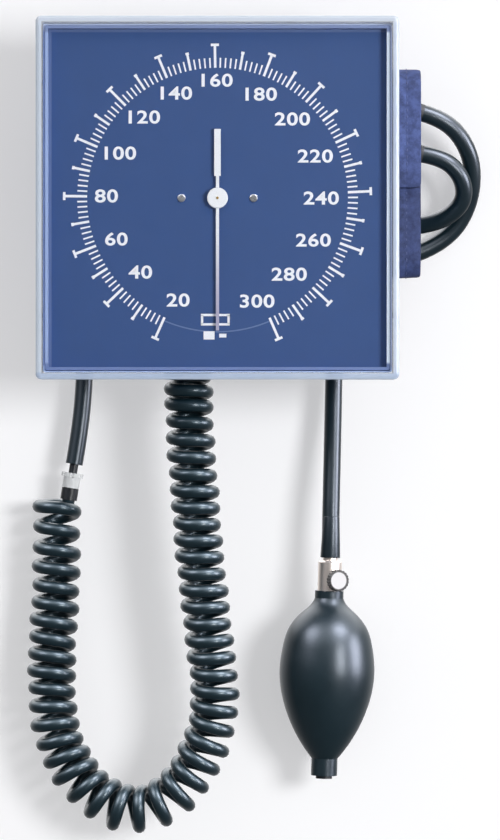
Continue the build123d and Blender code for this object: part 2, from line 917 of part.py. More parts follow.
def capsule_dish():
    """One corrugated shell: its rim at height 0 and its flat middle at full height."""
    crest = capsule_shell
    trough = capsule_shell * 0.72
    top = [(3, crest)]
    grooves = 4
    groove = (capsule_radius - 6) / (2 * grooves)
    for number in range(grooves):
        start = 3.6 + 2 * groove * number
        top.append((start, trough))
        top.append((start + groove * 0.8, trough))
        top.append((start + groove, crest))
        top.append((start + groove * 1.8, crest))
    rim = capsule_radius - 1.6
    top.append((rim - 0.4, capsule_wall))
    under = [(radius, height - capsule_wall) for radius, height in reversed(top)]
    outline = [(0, crest)] + top + [(capsule_radius, capsule_wall), (capsule_radius, 0)]
    outline += [(rim - 0.4, 0)] + under[1:] + [(0, crest - capsule_wall)]
    profile = Plane.XZ * make_face(Polyline(*outline, close=True))
    return revolve(profile, Axis.Z)


def make_capsule_front():
    """The shell that the pressure pushes out, which carries the push pin."""
    return capsule_frame(capsule_rim_depth) * capsule_dish()


def make_capsule_rear():
    """The shell that is soldered to the inlet, with a short neck round the air channel."""
    dish = Rot(180, 0, 0) * capsule_dish()
    dish += column(-capsule_shell - capsule_seat, -capsule_shell + 0.1, 2.5)
    dish -= column(-capsule_shell - 1, 0, channel_radius)
    return capsule_frame(capsule_rim_depth) * dish


def make_push_pin():
    """A flat foot and a pin with a round tip that touches the lift lever."""
    lean = math.radians(rocker_sweep / 2)
    face = shaft_rise - lift_arm * math.tan(lean) - lever_thick / 2 / math.cos(lean)
    tip = face - contact_gap - push_pin_radius
    pin = column(0, 0.5, 2.2) + column(0.4, tip, push_pin_radius)
    pin += Pos(0, 0, tip) * Sphere(push_pin_radius)
    return capsule_frame(capsule_front_depth) * pin


def make_inlet_manifold():
    """A drilled block that leads the air from the barb up to the capsule's middle."""
    half = manifold_width / 2
    inside = rear_floor_z + rear_wall
    block = slab(barb_x - half, barb_x + half, case_floor, manifold_top, inside, capsule_z + half)
    block += slab(
        barb_x - half, half, case_floor, manifold_top, capsule_z - half, capsule_z + half
    )
    boss_top = inside + inlet_boss_height
    stud_hole_top = inside + inlet_stud_reach + 0.5
    block += slab(
        barb_x - half - 0.5,
        barb_x + half + 0.5,
        case_floor,
        barb_depth + inlet_stud_radius + 1.6,
        inside,
        boss_top,
    )
    channel = case_floor + manifold_thick / 2
    block -= upright(barb_x, channel, boss_top - 4, capsule_z, channel_radius)
    block -= crossbar(barb_x, 0, channel, capsule_z, channel_radius)
    block -= disc(0, capsule_z, channel, manifold_top + 1, channel_radius)
    block -= upright(barb_x, barb_depth, inside - 1, stud_hole_top, inlet_stud_radius)
    block -= upright(barb_x, barb_depth, inside, boss_top - 1.5, barb_bore)
    return block


def make_inlet_barb():
    """A threaded stud through the case's floor, and a barb below it."""
    stud_top = rear_floor_z + rear_wall + inlet_stud_reach
    stud = column(nut_low_z, stud_top, inlet_stud_radius)
    stem = barb(nut_low_z - barb_length, nut_low_z, barb_radius, barb_bore)
    body = stud + stem - column(nut_low_z - barb_length - 1, stud_top + 1, barb_bore)
    return Pos(barb_x, -barb_depth, 0) * body


def make_barb_nut():
    nut = Pos(barb_x, -barb_depth, nut_low_z) * extrude(
        RegularPolygon(nut_across / 2, 6, major_radius=False), nut_thick
    )
    return nut - upright(
        barb_x, barb_depth, nut_low_z - 1, rear_floor_z + 1, inlet_stud_radius
    )


# Hoses and the connector between them
def connector_frame():
    """The cuff hose's end; local -Z goes on down the connector."""
    x, depth, z = cuff_route[-1]
    return Pos(x, -depth, z) * Rot(0, connector_tilt, 0)


def collar_low():
    return -neck_length - collar_length


def fitting_low():
    return collar_low() - 0.2 - end_fitting_length


def make_hose_tip():
    """The hose's barbed tip: a thin neck, a flange that keeps the collar, and a taper."""
    tip = barb(0, tip_barb_length, neck_radius - barb_ridge, 1.0)
    web_low = -neck_length - collar_flange_thick
    tip += column(web_low - 0.1, 0, neck_radius)
    tip += column(web_low - 0.8, web_low - 0.1, neck_radius + 0.7)
    taper_low = collar_low() + 1.0
    tip += Pos(0, 0, (web_low - 0.8 + taper_low) / 2) * Cone(
        taper_radius - taper_narrowing, taper_radius, web_low - 0.8 - taper_low
    )
    return connector_frame() * (tip - column(taper_low - 1, tip_barb_length + 1, air_bore))


def make_luer_collar():
    """The clear locking collar, which turns on the tip's neck."""
    high = -neck_length
    web_low = high - collar_flange_thick
    collar = column(collar_low(), high, collar_radius)
    collar += column(web_low, high, collar_flange_radius)
    for number in range(collar_grip_count):
        turn = Rot(0, 0, 360 / collar_grip_count * number)
        collar -= turn * Pos(collar_flange_radius + 0.3, 0, high - 1) * Cylinder(0.9, 4)
    collar -= column(collar_low() - 1, web_low, collar_radius - collar_wall)
    collar -= column(web_low - 1, high + 1, neck_radius + running_gap)
    return connector_frame() * collar


def make_coil_end_fitting():
    """The socket on the curly hose's end: a tube inside the collar and a thicker sleeve."""
    web_low = -neck_length - collar_flange_thick
    top = web_low - 1.0
    fitting = column(collar_low() - 0.3, top, collar_radius - collar_wall - 0.1)
    fitting += column(fitting_low(), collar_low() - 0.2, end_fitting_radius)
    fitting -= column(collar_low() - 1, top + 1, taper_radius + 0.1)
    fitting += column(fitting_low() - 1, fitting_low(), barb_radius - 0.2)
    return connector_frame() * (fitting - column(fitting_low() - 2, 0, air_bore))


def make_coil_leads():
    """The straight ends of the curly hose, at the inlet barb and at the connector."""
    top = upright(
        barb_x, barb_depth, route_points(coil_route)[0].Z - 2, nut_low_z, coil_tube_diameter / 2
    )
    low = fitting_low()
    end = connector_frame() * column(low - 3, low, coil_tube_diameter / 2)
    return Compound([top, end])


# Release valve and bulb
def bulb_frame():
    """The bulb hose's end; local -Z goes down the valve and the bulb."""
    x, depth, z = bulb_route[-1]
    return Pos(x, -depth, z) * Rot(0, bulb_tilt, 0)


def make_bulb_hose():
    """The bulb hose, swollen where it is pushed on the valve's barb."""
    radius = hose_diameter / 2
    high = hose_swell_length + 3
    swollen = column(0, hose_swell_length, radius + hose_swell)
    swollen += Pos(0, 0, (hose_swell_length + high) / 2) * Cone(
        radius + hose_swell, radius, high - hose_swell_length
    )
    return hose("bulb_hose", bulb_route, hose_diameter) + bulb_frame() * swollen


def thumb_frame():
    """The release screw's axis; local Z points out of the valve, to the front and right."""
    return bulb_frame() * Pos(0, 0, -thumb_drop) * Rot(0, 0, thumb_turn) * Rot(90, 0, 0)


def thumb_face():
    return boss_reach + thumb_gap


def make_valve_body():
    """The chromed valve: hose barb, body with the screw's boss, and a stem into the bulb."""
    body = column(-valve_length, -valve_neck, valve_radius)
    body = chamfer(body.edges().filter_by(GeomType.CIRCLE).sort_by(Axis.Z)[-1], 0.7)
    body += column(-valve_neck, 0, valve_neck_radius)
    body += barb(0, valve_barb_length, valve_barb_radius, valve_bore)
    body += column(-valve_end, -valve_length, neck_bore)
    boss = Pos(0, 0, -thumb_drop) * Rot(0, 0, thumb_turn) * Rot(90, 0, 0)
    body += boss * column(0, boss_reach, boss_radius)
    body -= boss * column(0, boss_reach + 1, thumb_stem_radius + 0.08)
    body -= column(-valve_end, valve_barb_length + 1, valve_bore)
    chamber_radius = check_disc_radius + check_chamber_gap
    body -= column(-valve_end - 1, outlet_seat() + check_room(), chamber_radius)
    return bulb_frame() * body


def check_room():
    """The height of a check valve's chamber above its ring."""
    return check_gap + check_disc_thick + check_lift + 0.2


def outlet_seat():
    return -valve_end + check_ring


def check_ring_at(low):
    """A flat ring that fills a check valve's chamber and holds its disc in."""
    ring = column(low, low + check_ring, check_disc_radius + check_chamber_gap)
    return bulb_frame() * (ring - column(low - 1, low + check_ring + 1, check_ring_bore))


def make_outlet_check_ring():
    return check_ring_at(-valve_end)


def make_outlet_check_disc():
    low = outlet_seat() + check_gap
    return bulb_frame() * column(low, low + check_disc_thick, check_disc_radius)


def make_stem_ring():
    """The soft ring in the release screw's groove, which slides with the screw."""
    outer = thumb_stem_radius + 0.02
    inner = outer - ring_thick
    middle = boss_reach * 0.62
    ring = column(middle - ring_thick / 2, middle + ring_thick / 2, outer)
    ring = fillet(ring.edges().filter_by(GeomType.CIRCLE), ring_thick * 0.35)
    return thumb_frame() * (ring - column(middle - 2, middle + 2, inner))


def make_thumb_screw():
    """The release screw: a grooved needle stem and a knurled head."""
    stem = column(valve_bore + 1, thumb_face(), thumb_stem_radius)
    stem += Pos(0, 0, valve_bore + 0.6) * Cone(0.5, thumb_stem_radius, 0.8)
    middle = boss_reach * 0.62
    groove = column(middle - 0.4, middle + 0.4, thumb_stem_radius + 1)
    stem -= groove - column(middle - 1, middle + 1, thumb_stem_radius - ring_thick)
    head = column(thumb_face(), thumb_face() + thumb_thick, thumb_radius)
    head = chamfer(head.edges().filter_by(GeomType.CIRCLE), 0.5)
    for number in range(thumb_grip_count):
        turn = Rot(0, 0, 360 / thumb_grip_count * number)
        groove_place = Pos(thumb_radius + 0.15, 0, thumb_face() + thumb_thick / 2)
        head -= turn * groove_place * Cylinder(0.5, thumb_thick + 1)
    return thumb_frame() * (stem + head)


def bulb_profile(neck, tail, inset):
    """The bulb's turned shape, or its hollow, which lies the wall's thickness further in."""
    top = -valve_length
    low = top - bulb_length
    belly = [
        (share * bulb_width / 2 - inset, top - fall * bulb_length)
        for share, fall in bulb_shape
    ]
    start = (neck, top - bulb_neck_length)
    end = (tail, low + bulb_tail_length)
    curve = Spline(start, *belly, end)
    sides = Polyline(end, (tail, low), (0, low), (0, top), (neck, top), start)
    return revolve(Plane.XZ * make_face(curve + sides), Axis.Z)


def make_bulb():
    """The hollow rubber bulb, open at its neck and at its tail."""
    outer = bulb_profile(neck_outer, tail_outer, 0)
    inner = bulb_profile(neck_bore, tail_bore, bulb_wall)
    return bulb_frame() * (outer - inner)


def intake_low():
    return -valve_length - bulb_length


def make_intake_valve():
    """The metal plug in the bulb's tail, with a seat and a chamber for its disc."""
    low = intake_low()
    high = low + intake_plug_length
    plug = column(low, high, tail_bore)
    plug += column(low - intake_end_length, low, intake_end_radius)
    plug -= column(low - intake_end_length - 1, high + 1, intake_bore)
    plug -= column(intake_seat(), high + 1, check_disc_radius + check_chamber_gap)
    return bulb_frame() * plug


def intake_seat():
    return intake_low() + intake_seat_height


def make_intake_disc():
    low = intake_seat() + check_gap
    return bulb_frame() * column(low, low + check_disc_thick, check_disc_radius)


def make_intake_ring():
    return check_ring_at(intake_seat() + check_room())


parts = {
    "wall_plate": make_wall_plate,
    "cuff_basket": make_cuff_basket,
    "basket_lock_screw": make_basket_lock_screw,
    "cuff_sleeve": make_cuff_sleeve,
    "cuff_bladder": make_cuff_bladder,
    "cuff_hook_strip": make_cuff_hook_strip,
    "clear_cover": make_clear_cover,
    "cover_screws": make_cover_screws,
    "case_tray": make_case_tray,
    "case_screws": make_case_screws,
    "dial_plate": make_dial_plate,
    "dial_frame": make_dial_frame,
    "dial_screws": make_dial_screws,
    "dial_standoffs": make_dial_standoffs,
    "pointer": make_pointer,
    "pointer_arbor": make_pointer_arbor,
    "pointer_pinion": make_pinion,
    "hairspring": make_hairspring,
    "sector_gear": make_sector_gear,
    "sector_pin": make_sector_pin,
    "sector_arbor": make_sector_arbor,
    "rocking_shaft": make_rocking_shaft,
    "lift_lever": make_lift_lever,
    "drive_lever": make_drive_lever,
    "rocker_brackets": make_rocker_brackets,
    "movement_front_plate": make_front_plate,
    "movement_rear_plate": make_rear_plate,
    "movement_pillars": make_movement_pillars,
    "movement_posts": make_movement_posts,
    "movement_screws": make_movement_screws,
    "capsule_front": make_capsule_front,
    "capsule_rear": make_capsule_rear,
    "push_pin": make_push_pin,
    "inlet_manifold": make_inlet_manifold,
    "inlet_barb": make_inlet_barb,
    "barb_nut": make_barb_nut,
    "bulb_hose": make_bulb_hose,
    "cuff_hose": lambda: hose("cuff_hose", cuff_route, hose_diameter),
    "coil_hose": lambda: hose("coil_hose", coil_route, coil_diameter),
    "coil_leads": make_coil_leads,
    "hose_tip": make_hose_tip,
    "luer_collar": make_luer_collar,
    "coil_end_fitting": make_coil_end_fitting,
    "valve_body": make_valve_body,
    "outlet_check_ring": make_outlet_check_ring,
    "outlet_check_disc": make_outlet_check_disc,
    "stem_ring": make_stem_ring,
    "thumb_screw": make_thumb_screw,
    "bulb": make_bulb,
    "intake_valve": make_intake_valve,
    "intake_disc": make_intake_disc,
    "intake_ring": make_intake_ring,
}

os.makedirs("parts", exist_ok=True)
for node, make in parts.items():
    export_step(make(), "parts/" + node + ".step")
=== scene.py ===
"""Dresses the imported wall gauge: stage, hoses, curly hose, cuff, dial print and every finish."""

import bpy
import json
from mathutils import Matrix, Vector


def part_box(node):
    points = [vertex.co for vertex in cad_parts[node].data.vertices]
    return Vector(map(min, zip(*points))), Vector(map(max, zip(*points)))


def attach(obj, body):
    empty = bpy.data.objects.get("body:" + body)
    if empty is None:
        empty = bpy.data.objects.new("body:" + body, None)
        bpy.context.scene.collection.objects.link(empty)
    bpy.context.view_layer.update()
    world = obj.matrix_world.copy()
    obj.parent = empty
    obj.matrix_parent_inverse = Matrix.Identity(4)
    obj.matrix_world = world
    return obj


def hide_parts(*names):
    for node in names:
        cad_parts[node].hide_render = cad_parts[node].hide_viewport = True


bl_info = {
    "name": "Wall Sphygmomanometer",
    "version": (1, 0, 0),
    "blender": (4, 5, 0),
    "location": "3D View > Sidebar > Gauge",
    "description": "Finishes a wall-mounted blood-pressure gauge on its packed frame",
    "category": "Add Mesh",
}

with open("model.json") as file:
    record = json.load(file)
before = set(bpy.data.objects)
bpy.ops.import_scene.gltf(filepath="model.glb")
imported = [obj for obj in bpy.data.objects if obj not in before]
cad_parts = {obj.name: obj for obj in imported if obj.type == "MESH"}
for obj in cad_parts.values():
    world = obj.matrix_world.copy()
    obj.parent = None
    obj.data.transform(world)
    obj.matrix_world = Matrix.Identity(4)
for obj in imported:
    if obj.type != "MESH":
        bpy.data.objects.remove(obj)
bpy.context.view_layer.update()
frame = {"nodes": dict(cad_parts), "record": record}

import json
import math

import bmesh
import bpy
from bpy.props import FloatProperty, FloatVectorProperty, IntProperty, PointerProperty
from bpy.types import Operator, Panel, PropertyGroup
from mathutils import Matrix, Vector

MM = 0.001
SHARP_ANGLE = math.radians(38)


# Colours are written as the eye reads them, from 0 to 255, and stored as light
def paint(red, green, blue):
    """An eye colour as linear light."""
    shares = [value / 255 for value in (red, green, blue)]
    return tuple(s / 12.92 if s <= 0.04045 else ((s + 0.055) / 1.055) ** 2.4 for s in shares)


def rgba(colour):
    return (*colour[:3], 1.0)


def colour_property(name, description, default):
    return FloatVectorProperty(
        name=name, description=description, subtype="COLOR", size=3, min=0, max=1, default=default
    )


def length_property(name, description, default):
    return FloatProperty(
        name=name, description=description, subtype="DISTANCE", unit="LENGTH", min=0, default=default
    )


# Sizes and colours that a user would change
class GaugeColours(PropertyGroup):
    """Colours of the gauge's finishes."""

    dial: colour_property("Dial", "Satin blue of the dial plate", paint(40, 75, 132))
    ink: colour_property("Dial print", "White of the ticks and numbers", paint(240, 243, 250))
    pointer: colour_property("Pointer", "White of the pointer", paint(236, 240, 246))
    # The cover's and the spacer's colours are painted light, used on the bottom side of their frames
    acrylic: colour_property("Cover", "Tint of the clear cover's thick edges", paint(176, 198, 234))
    spacer: colour_property("Spacer", "Pale frame between dial and cover", paint(108, 131, 184))
    navy: colour_property("Case", "Navy plastic of the case and the basket", paint(44, 60, 112))
    cuff: colour_property("Cuff", "Blue nylon of the cuff", paint(86, 102, 158))
    binding: colour_property("Binding", "Tape round the cuff's edge", paint(48, 60, 104))
    hose: colour_property("Hoses", "Black rubber of the plain hoses", paint(8, 26, 33))
    coil: colour_property("Curly hose", "Slate black vinyl of the curly hose", paint(6, 26, 33))
    bulb: colour_property("Bulb", "Dark rubber of the bulb", paint(8, 29, 36))


class GaugeDial(PropertyGroup):
    """Sizes of the print on the dial."""

    tick_inner: length_property("Tick start", "Inner radius of every tick", 61.5 * MM)
    tick_minor: length_property("Minor tick", "Outer radius of a tick of two", 66.2 * MM)
    tick_middle: length_property("Middle tick", "Outer radius of a tick of ten", 69.5 * MM)
    tick_major: length_property("Major tick", "Outer radius of a tick of twenty", 72.3 * MM)
    number_height: length_property("Number height", "Height of the numbers", 6.3 * MM)
    ink_thick: length_property("Ink", "Thickness of the print", 0.06 * MM)


class GaugeHoses(PropertyGroup):
    """Sizes of the hoses."""

    hose_diameter: length_property("Hose diameter", "Outer diameter of the plain hoses", 8.4 * MM)
    hose_swell: length_property("Hose swell", "How far the hose swells on the valve", 0.6 * MM)
    tube_diameter: length_property("Tube diameter", "Diameter of the curly hose's tube", 6.2 * MM)
    coil_radius: length_property("Coil radius", "From the coil's axis to the tube's middle", 8.7 * MM)
    turn_points: IntProperty(
        name="Turn points", description="Points of the line on each turn", min=12, default=16
    )


class GaugeCuff(PropertyGroup):
    """Sizes of the rolled cuff."""

    layer: length_property("Layer", "From one wrap of the cuff to the next", 4.0 * MM)
    skin: length_property("Skin", "Thickness of the sleeve before it is filled", 1.8 * MM)
    seam: length_property("Seam", "From the cuff's edge to its seam", 7.0 * MM)
    pressure: FloatProperty(
        name="Fill", description="Pressure that puffs the sleeve between its seams", min=0, default=4
    )


class GaugeStage(PropertyGroup):
    """The camera's place and the studio light."""

    camera_distance: length_property("Camera distance", "From the cover's front to the camera", 2.0)
    camera_x: FloatProperty(name="Camera side", description="Sideways place", default=15.31 * MM)
    camera_z: FloatProperty(name="Camera height", description="Height", default=-104.6 * MM)
    lens: FloatProperty(name="Lens", description="Focal length in millimetres", default=182.5)
    key_power: FloatProperty(name="Key", description="Power of the main lamp in watts", default=27)
    gloss_power: FloatProperty(
        name="Gloss", description="Power in watts of the lamps seen only as highlights", default=18
    )
    fill: FloatProperty(name="Fill", description="Strength of the light from all round", default=0.45)


# Shader nodes
class Socket:
    """An output in a material; arithmetic on it adds Math nodes."""

    def __init__(self, nodes, output):
        self.nodes = nodes
        self.output = output

    def maths(self, operation, *values):
        return self.nodes.node("ShaderNodeMath", {"operation": operation}, dict(enumerate(values)))

    def __add__(self, other):
        return self.maths("ADD", self, other)

    def __sub__(self, other):
        return self.maths("SUBTRACT", self, other)

    def __rsub__(self, other):
        return self.maths("SUBTRACT", other, self)

    def __mul__(self, other):
        return self.maths("MULTIPLY", self, other)

    __radd__ = __add__
    __rmul__ = __mul__

    def larger(self, other):
        return self.maths("MAXIMUM", self, other)

    def size(self):
        return self.maths("ABSOLUTE", self)

    def wave(self):
        return self.maths("SINE", self)

    def ramp(self, low, high):
        """From 0 at low to 1 at high, smoothly."""
        settings = {"interpolation_type": "SMOOTHSTEP"}
        return self.nodes.node("ShaderNodeMapRange", settings, {0: self, 1: low, 2: high})


class Nodes:
    """A node tree that is filled node by node."""

    def __init__(self, tree):
        self.tree = tree

    def node(self, kind, settings=None, inputs=None, output=0):
        """Add a node, set it up, then fill its sockets with values or links."""
        made = self.tree.nodes.new(kind)
        for name, value in (settings or {}).items():
            setattr(made, name, value)
        for key, value in (inputs or {}).items():
            self.fill(made.inputs[key], value)
        return Socket(self, made.outputs[output])

    def split(self, vector):
        """The x, y and z of a vector."""
        outputs = self.node("ShaderNodeSeparateXYZ", inputs={0: vector}).output.node.outputs
        return [Socket(self, outputs[number]) for number in range(3)]

    def fill(self, socket, value):
        if isinstance(value, Socket):
            self.tree.links.new(value.output, socket)
        else:
            socket.default_value = value


class Finish(Nodes):
    """A material."""

    def __init__(self, name):
        self.material = bpy.data.materials.new(name)
        self.material.use_nodes = True
        super().__init__(self.material.node_tree)
        self.shader = self.tree.nodes["Principled BSDF"]

    def place(self):
        """Object coordinates, which are the object's own place in metres."""
        return self.node("ShaderNodeTexCoord", output="Object")

    def axes(self):
        return self.split(self.place())

    def noise(self, scale, detail=2.0, roughness=0.5, at=None):
        inputs = {"Vector": at or self.place(), "Scale": scale, "Detail": detail, "Roughness": roughness}
        return self.node("ShaderNodeTexNoise", inputs=inputs)

    def mix(self, first, second, share):
        """A colour between two colours."""
        inputs = {0: share, 6: first, 7: second}
        return self.node("ShaderNodeMix", {"data_type": "RGBA"}, inputs, output=2)

    def bump(self, height, strength, distance):
        inputs = {"Height": height, "Strength": strength, "Distance": distance}
        return self.node("ShaderNodeBump", inputs=inputs)

    def surface(self, **inputs):
        for name, value in inputs.items():
            self.fill(self.shader.inputs[name.replace("_", " ")], value)
        return self.material


def tones(finish, colour, spread, scale):
    """The colour, a little lighter and darker in soft patches."""
    darker = rgba([value * (1 - spread) for value in colour])
    lighter = rgba([min(1.0, value * (1 + spread)) for value in colour])
    return finish.mix(darker, lighter, finish.noise(scale, 3.0))


# Finishes. A pattern's scale is how often it repeats in a metre
GRAIN_DEPTH = 0.1 * MM
POLISH_DEPTH = 0.05 * MM
ACRYLIC_INDEX = 1.49


def dial_paint(colours):
    """Satin enamel with a faint orange peel, and painted light along its left and top edges."""
    made = Finish("dial_paint")
    x, _, z = made.axes()
    # Painted light: a pale line along the dial's left and top edges
    edge_starts, edge_full = 77.9 * MM, 78.7 * MM
    painted_edge_light = (-1 * x).larger(z).ramp(edge_starts, edge_full)
    enamel = tones(made, colours.dial, 0.05, 60)
    return made.surface(
        Base_Color=made.mix(enamel, rgba(paint(84, 106, 152)), painted_edge_light),
        Roughness=0.38 + 0.1 * made.noise(220),
        Normal=made.bump(made.noise(900), 0.05, GRAIN_DEPTH),
        Specular_IOR_Level=0.35,
    )


def matt_paint(name, colour, shaded_tip=None):
    """Matt paint, ink or thread, a little uneven; it may fade down the needle into a painted darker
    reflection.
    """
    made = Finish(name)
    shade = tones(made, colour, 0.04, 700)
    if shaded_tip:
        # Painted shade: the needle darkens downward, as a reflection of a darker room
        fade_starts, fade_full = 8 * MM, 58 * MM
        _, _, z = made.axes()
        shade = made.mix(shade, rgba(shaded_tip), (-1 * z).ramp(fade_starts, fade_full))
    return made.surface(
        Base_Color=shade,
        Roughness=0.5,
        Normal=made.bump(made.noise(2500), 0.1, POLISH_DEPTH),
    )


def by_side(made, piece, left, top, right, bottom):
    """Painted light: a colour for each side of a square frame, as light falls on that side, met along
    its corners.
    """
    x, _, z = made.axes()
    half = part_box(piece)[1].x
    wall, soft = 4 * MM, 1.5 * MM
    colour = rgba(left)
    for place, other in ((x, right), (z, top), (-1 * z, bottom)):
        colour = made.mix(colour, rgba(other), (place - half).ramp(-wall, soft - wall))
    return colour


def clear_acrylic(colours):
    """Clear in the front and milky along the thick walls, where the light that gathers is painted in, a
    colour for each side and lighter toward the outer rim.
    """
    made = Finish("clear_acrylic")
    x, _, z = made.axes()
    inner_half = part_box("dial_plate")[1].x
    outer_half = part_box("clear_cover")[1].x
    off_middle = x.size().larger(z.size())
    wall = off_middle.ramp(inner_half + 0.4 * MM, inner_half + 1.5 * MM)
    rim = off_middle.ramp(outer_half - 1.6 * MM, outer_half)
    inside = made.node("ShaderNodeNewGeometry", output="Backfacing")
    shine = made.node("ShaderNodeFresnel", inputs={"IOR": ACRYLIC_INDEX}) * (1 - inside)
    # Painted light gathered in the walls: a lit colour for each side
    milky = by_side(
        made, "clear_cover", left=paint(222, 236, 255), top=paint(226, 237, 255),
        right=paint(198, 214, 244), bottom=colours.acrylic,
    )
    # Soft cloudy patches, plus painted light toward the outer rim
    cloud_and_rim_light = made.noise(38) * 0.5 + rim * 0.2
    body = made.mix(milky, rgba(paint(238, 247, 255)), cloud_and_rim_light)
    return made.surface(
        Base_Color=made.mix((1, 1, 1, 1), body, wall),
        Metallic=1 - wall,
        Roughness=0.03 + wall * 0.2,
        Alpha=(1 - wall) * shine + wall * (0.7 + rim * 0.25),
    )


def moulded_plastic(name, colour, grain, roughness):
    """Moulded plastic with a fine pebble."""
    made = Finish(name)
    pebble = made.node(
        "ShaderNodeTexVoronoi", {"feature": "SMOOTH_F1"}, {"Vector": made.place(), "Scale": grain}
    )
    return made.surface(
        Base_Color=tones(made, colour, 0.06, 45),
        Roughness=roughness + 0.12 * made.noise(160, 3.0),
        Normal=made.bump(pebble, 0.18, GRAIN_DEPTH),
    )


def spacer_plastic(colours):
    """Pale plastic frame with the cover's gathered light painted on each side, most of it at the right.
    """
    made = Finish("spacer_plastic")
    return made.surface(
        Base_Color=by_side(
            made, "dial_frame", left=paint(156, 178, 224), top=paint(124, 142, 186),
            right=paint(222, 236, 252), bottom=colours.spacer,
        ),
        Roughness=0.35 + 0.1 * made.noise(300),
        Normal=made.bump(made.noise(1200), 0.1, GRAIN_DEPTH),
    )


def case_plastic(colours):
    """Navy plastic whose front lip has painted light and a faint painted glow, for the light that comes
    through the cover's wall.
    """
    made = Finish("navy_plastic")
    _, y, _ = made.axes()
    lip_back, lip_front = 66.0 * MM, 68.0 * MM
    lip = (-1 * y).ramp(lip_back, lip_front)
    # Painted light on the lip: a lit colour for each side, also given as a faint painted glow
    lit = by_side(
        made, "case_tray", left=paint(150, 174, 222), top=paint(190, 203, 228),
        right=paint(196, 210, 238), bottom=paint(196, 217, 250),
    )
    return made.surface(
        Base_Color=made.mix(tones(made, colours.navy, 0.06, 45), lit, lip),
        Emission_Color=made.mix((0, 0, 0, 1), lit, lip),
        Emission_Strength=0.22,
        Roughness=0.3 + 0.12 * made.noise(160, 3.0),
        Normal=made.bump(made.noise(1500), 0.18, GRAIN_DEPTH),
    )


def brushed_metal(name, colour, roughness, stretch=(1, 1, 1)):
    """Metal with fine marks, which are long along the axes whose stretch is small."""
    made = Finish(name)
    turned = made.node("ShaderNodeMapping", inputs={"Vector": made.place(), "Scale": stretch})
    marks = made.noise(900, 3.0, 0.6, at=turned)
    return made.surface(
        Base_Color=tones(made, colour, 0.08, 90),
        Metallic=1.0,
        Roughness=roughness + 0.15 * marks,
        Normal=made.bump(marks, 0.06, POLISH_DEPTH),
    )


def chrome():
    """Bright plating with soft cloudiness."""
    made = Finish("chrome")
    return made.surface(
        Base_Color=tones(made, paint(238, 228, 220), 0.05, 150),
        Metallic=1.0,
        Roughness=0.28 + 0.1 * made.noise(260, 3.0),
        Normal=made.bump(made.noise(300, 1.0), 0.02, 0.03 * MM),
    )


def rubber(name, colour, roughness, grain=1300.0, strength=0.12):
    """Moulded rubber with fine grain and a little dust."""
    made = Finish(name)
    dust = made.noise(75, 4.0, 0.6)
    dusty = rgba([value * 1.7 + 0.002 for value in colour])
    return made.surface(
        Base_Color=made.mix(rgba(colour), dusty, dust * 0.6),
        Roughness=roughness + 0.14 * dust,
        Normal=made.bump(made.noise(grain, 3.0, 0.6), strength, GRAIN_DEPTH),
        Specular_IOR_Level=0.6,
        Specular_Tint=(0.82, 0.89, 1.0, 1.0),
    )


def vinyl(colours):
    """Glossy extruded vinyl with faint die lines."""
    made = Finish("coil_vinyl")
    haze = made.noise(140, 3.0)
    hazy = rgba([value * 1.5 for value in colours.coil])
    return made.surface(
        Base_Color=made.mix(rgba(colours.coil), hazy, haze * 0.5),
        Roughness=0.36 + 0.12 * haze,
        Normal=made.bump(made.noise(700), 0.08, GRAIN_DEPTH),
        Specular_IOR_Level=0.6,
        Specular_Tint=(0.66, 0.86, 1.0, 1.0),
        Coat_Weight=0.15 + 0.25 * haze,
        Coat_Roughness=0.16,
    )


def clear_plastic():
    """Clear moulded plastic whose rims look milky."""
    made = Finish("clear_plastic")
    rim = made.node("ShaderNodeLayerWeight", inputs={"Blend": 0.35}, output="Facing")
    body = 0.62
    return made.surface(
        Base_Color=tones(made, paint(250, 252, 255), 0.03, 400),
        Roughness=0.12 + 0.1 * made.noise(500),
        Alpha=body + (1 - body) * rim,
    )


def nylon(colours):
    """Coated pack cloth: a plain weave that follows the sleeve, with worn patches, taped edges and
    painted shade on its lower part.
    """
    made = Finish("cuff_nylon")
    along, across, _ = made.split(made.node("ShaderNodeUVMap", {"uv_map": "cloth"}))
    _, _, z = made.axes()
    thread_pitch, half_width = 0.55 * MM, 72.5 * MM
    threads = 2 * math.pi / thread_pitch
    weave = (along * threads).wave() * (across * threads).wave()
    tape = across.size().ramp(half_width - 7.6 * MM, half_width - 7.2 * MM)
    worn = made.noise(210, 4.0, 0.65)
    patches = worn.ramp(0.3, 0.7)
    # Tones of the cloth: shade and bright for the worn patches above, deep and dull as the painted-shade
    # copies below
    deep, shade, dull, bright = (
        rgba([value * share for value in colours.cuff]) for share in (0.36, 0.6, 0.8, 1.4)
    )
    # Painted shade: the roll's lower part is darker, by its place on the sleeve and by height
    by_place, by_height = along.ramp(-105 * MM, -85 * MM), z.ramp(26 * MM, 8 * MM)
    shaded = by_place * 0.35 + by_height * 0.65
    cloth = made.mix(made.mix(shade, bright, patches), made.mix(deep, dull, patches), shaded)
    return made.surface(
        Base_Color=made.mix(cloth, rgba(colours.binding), tape * 0.3),
        Roughness=0.65 + 0.12 * worn,
        Normal=made.bump(weave * (1 - 0.5 * tape) + worn * 2, 0.35, 0.15 * MM),
        Specular_IOR_Level=0.15,
        Sheen_Weight=0.03,
        Sheen_Roughness=0.4,
    )


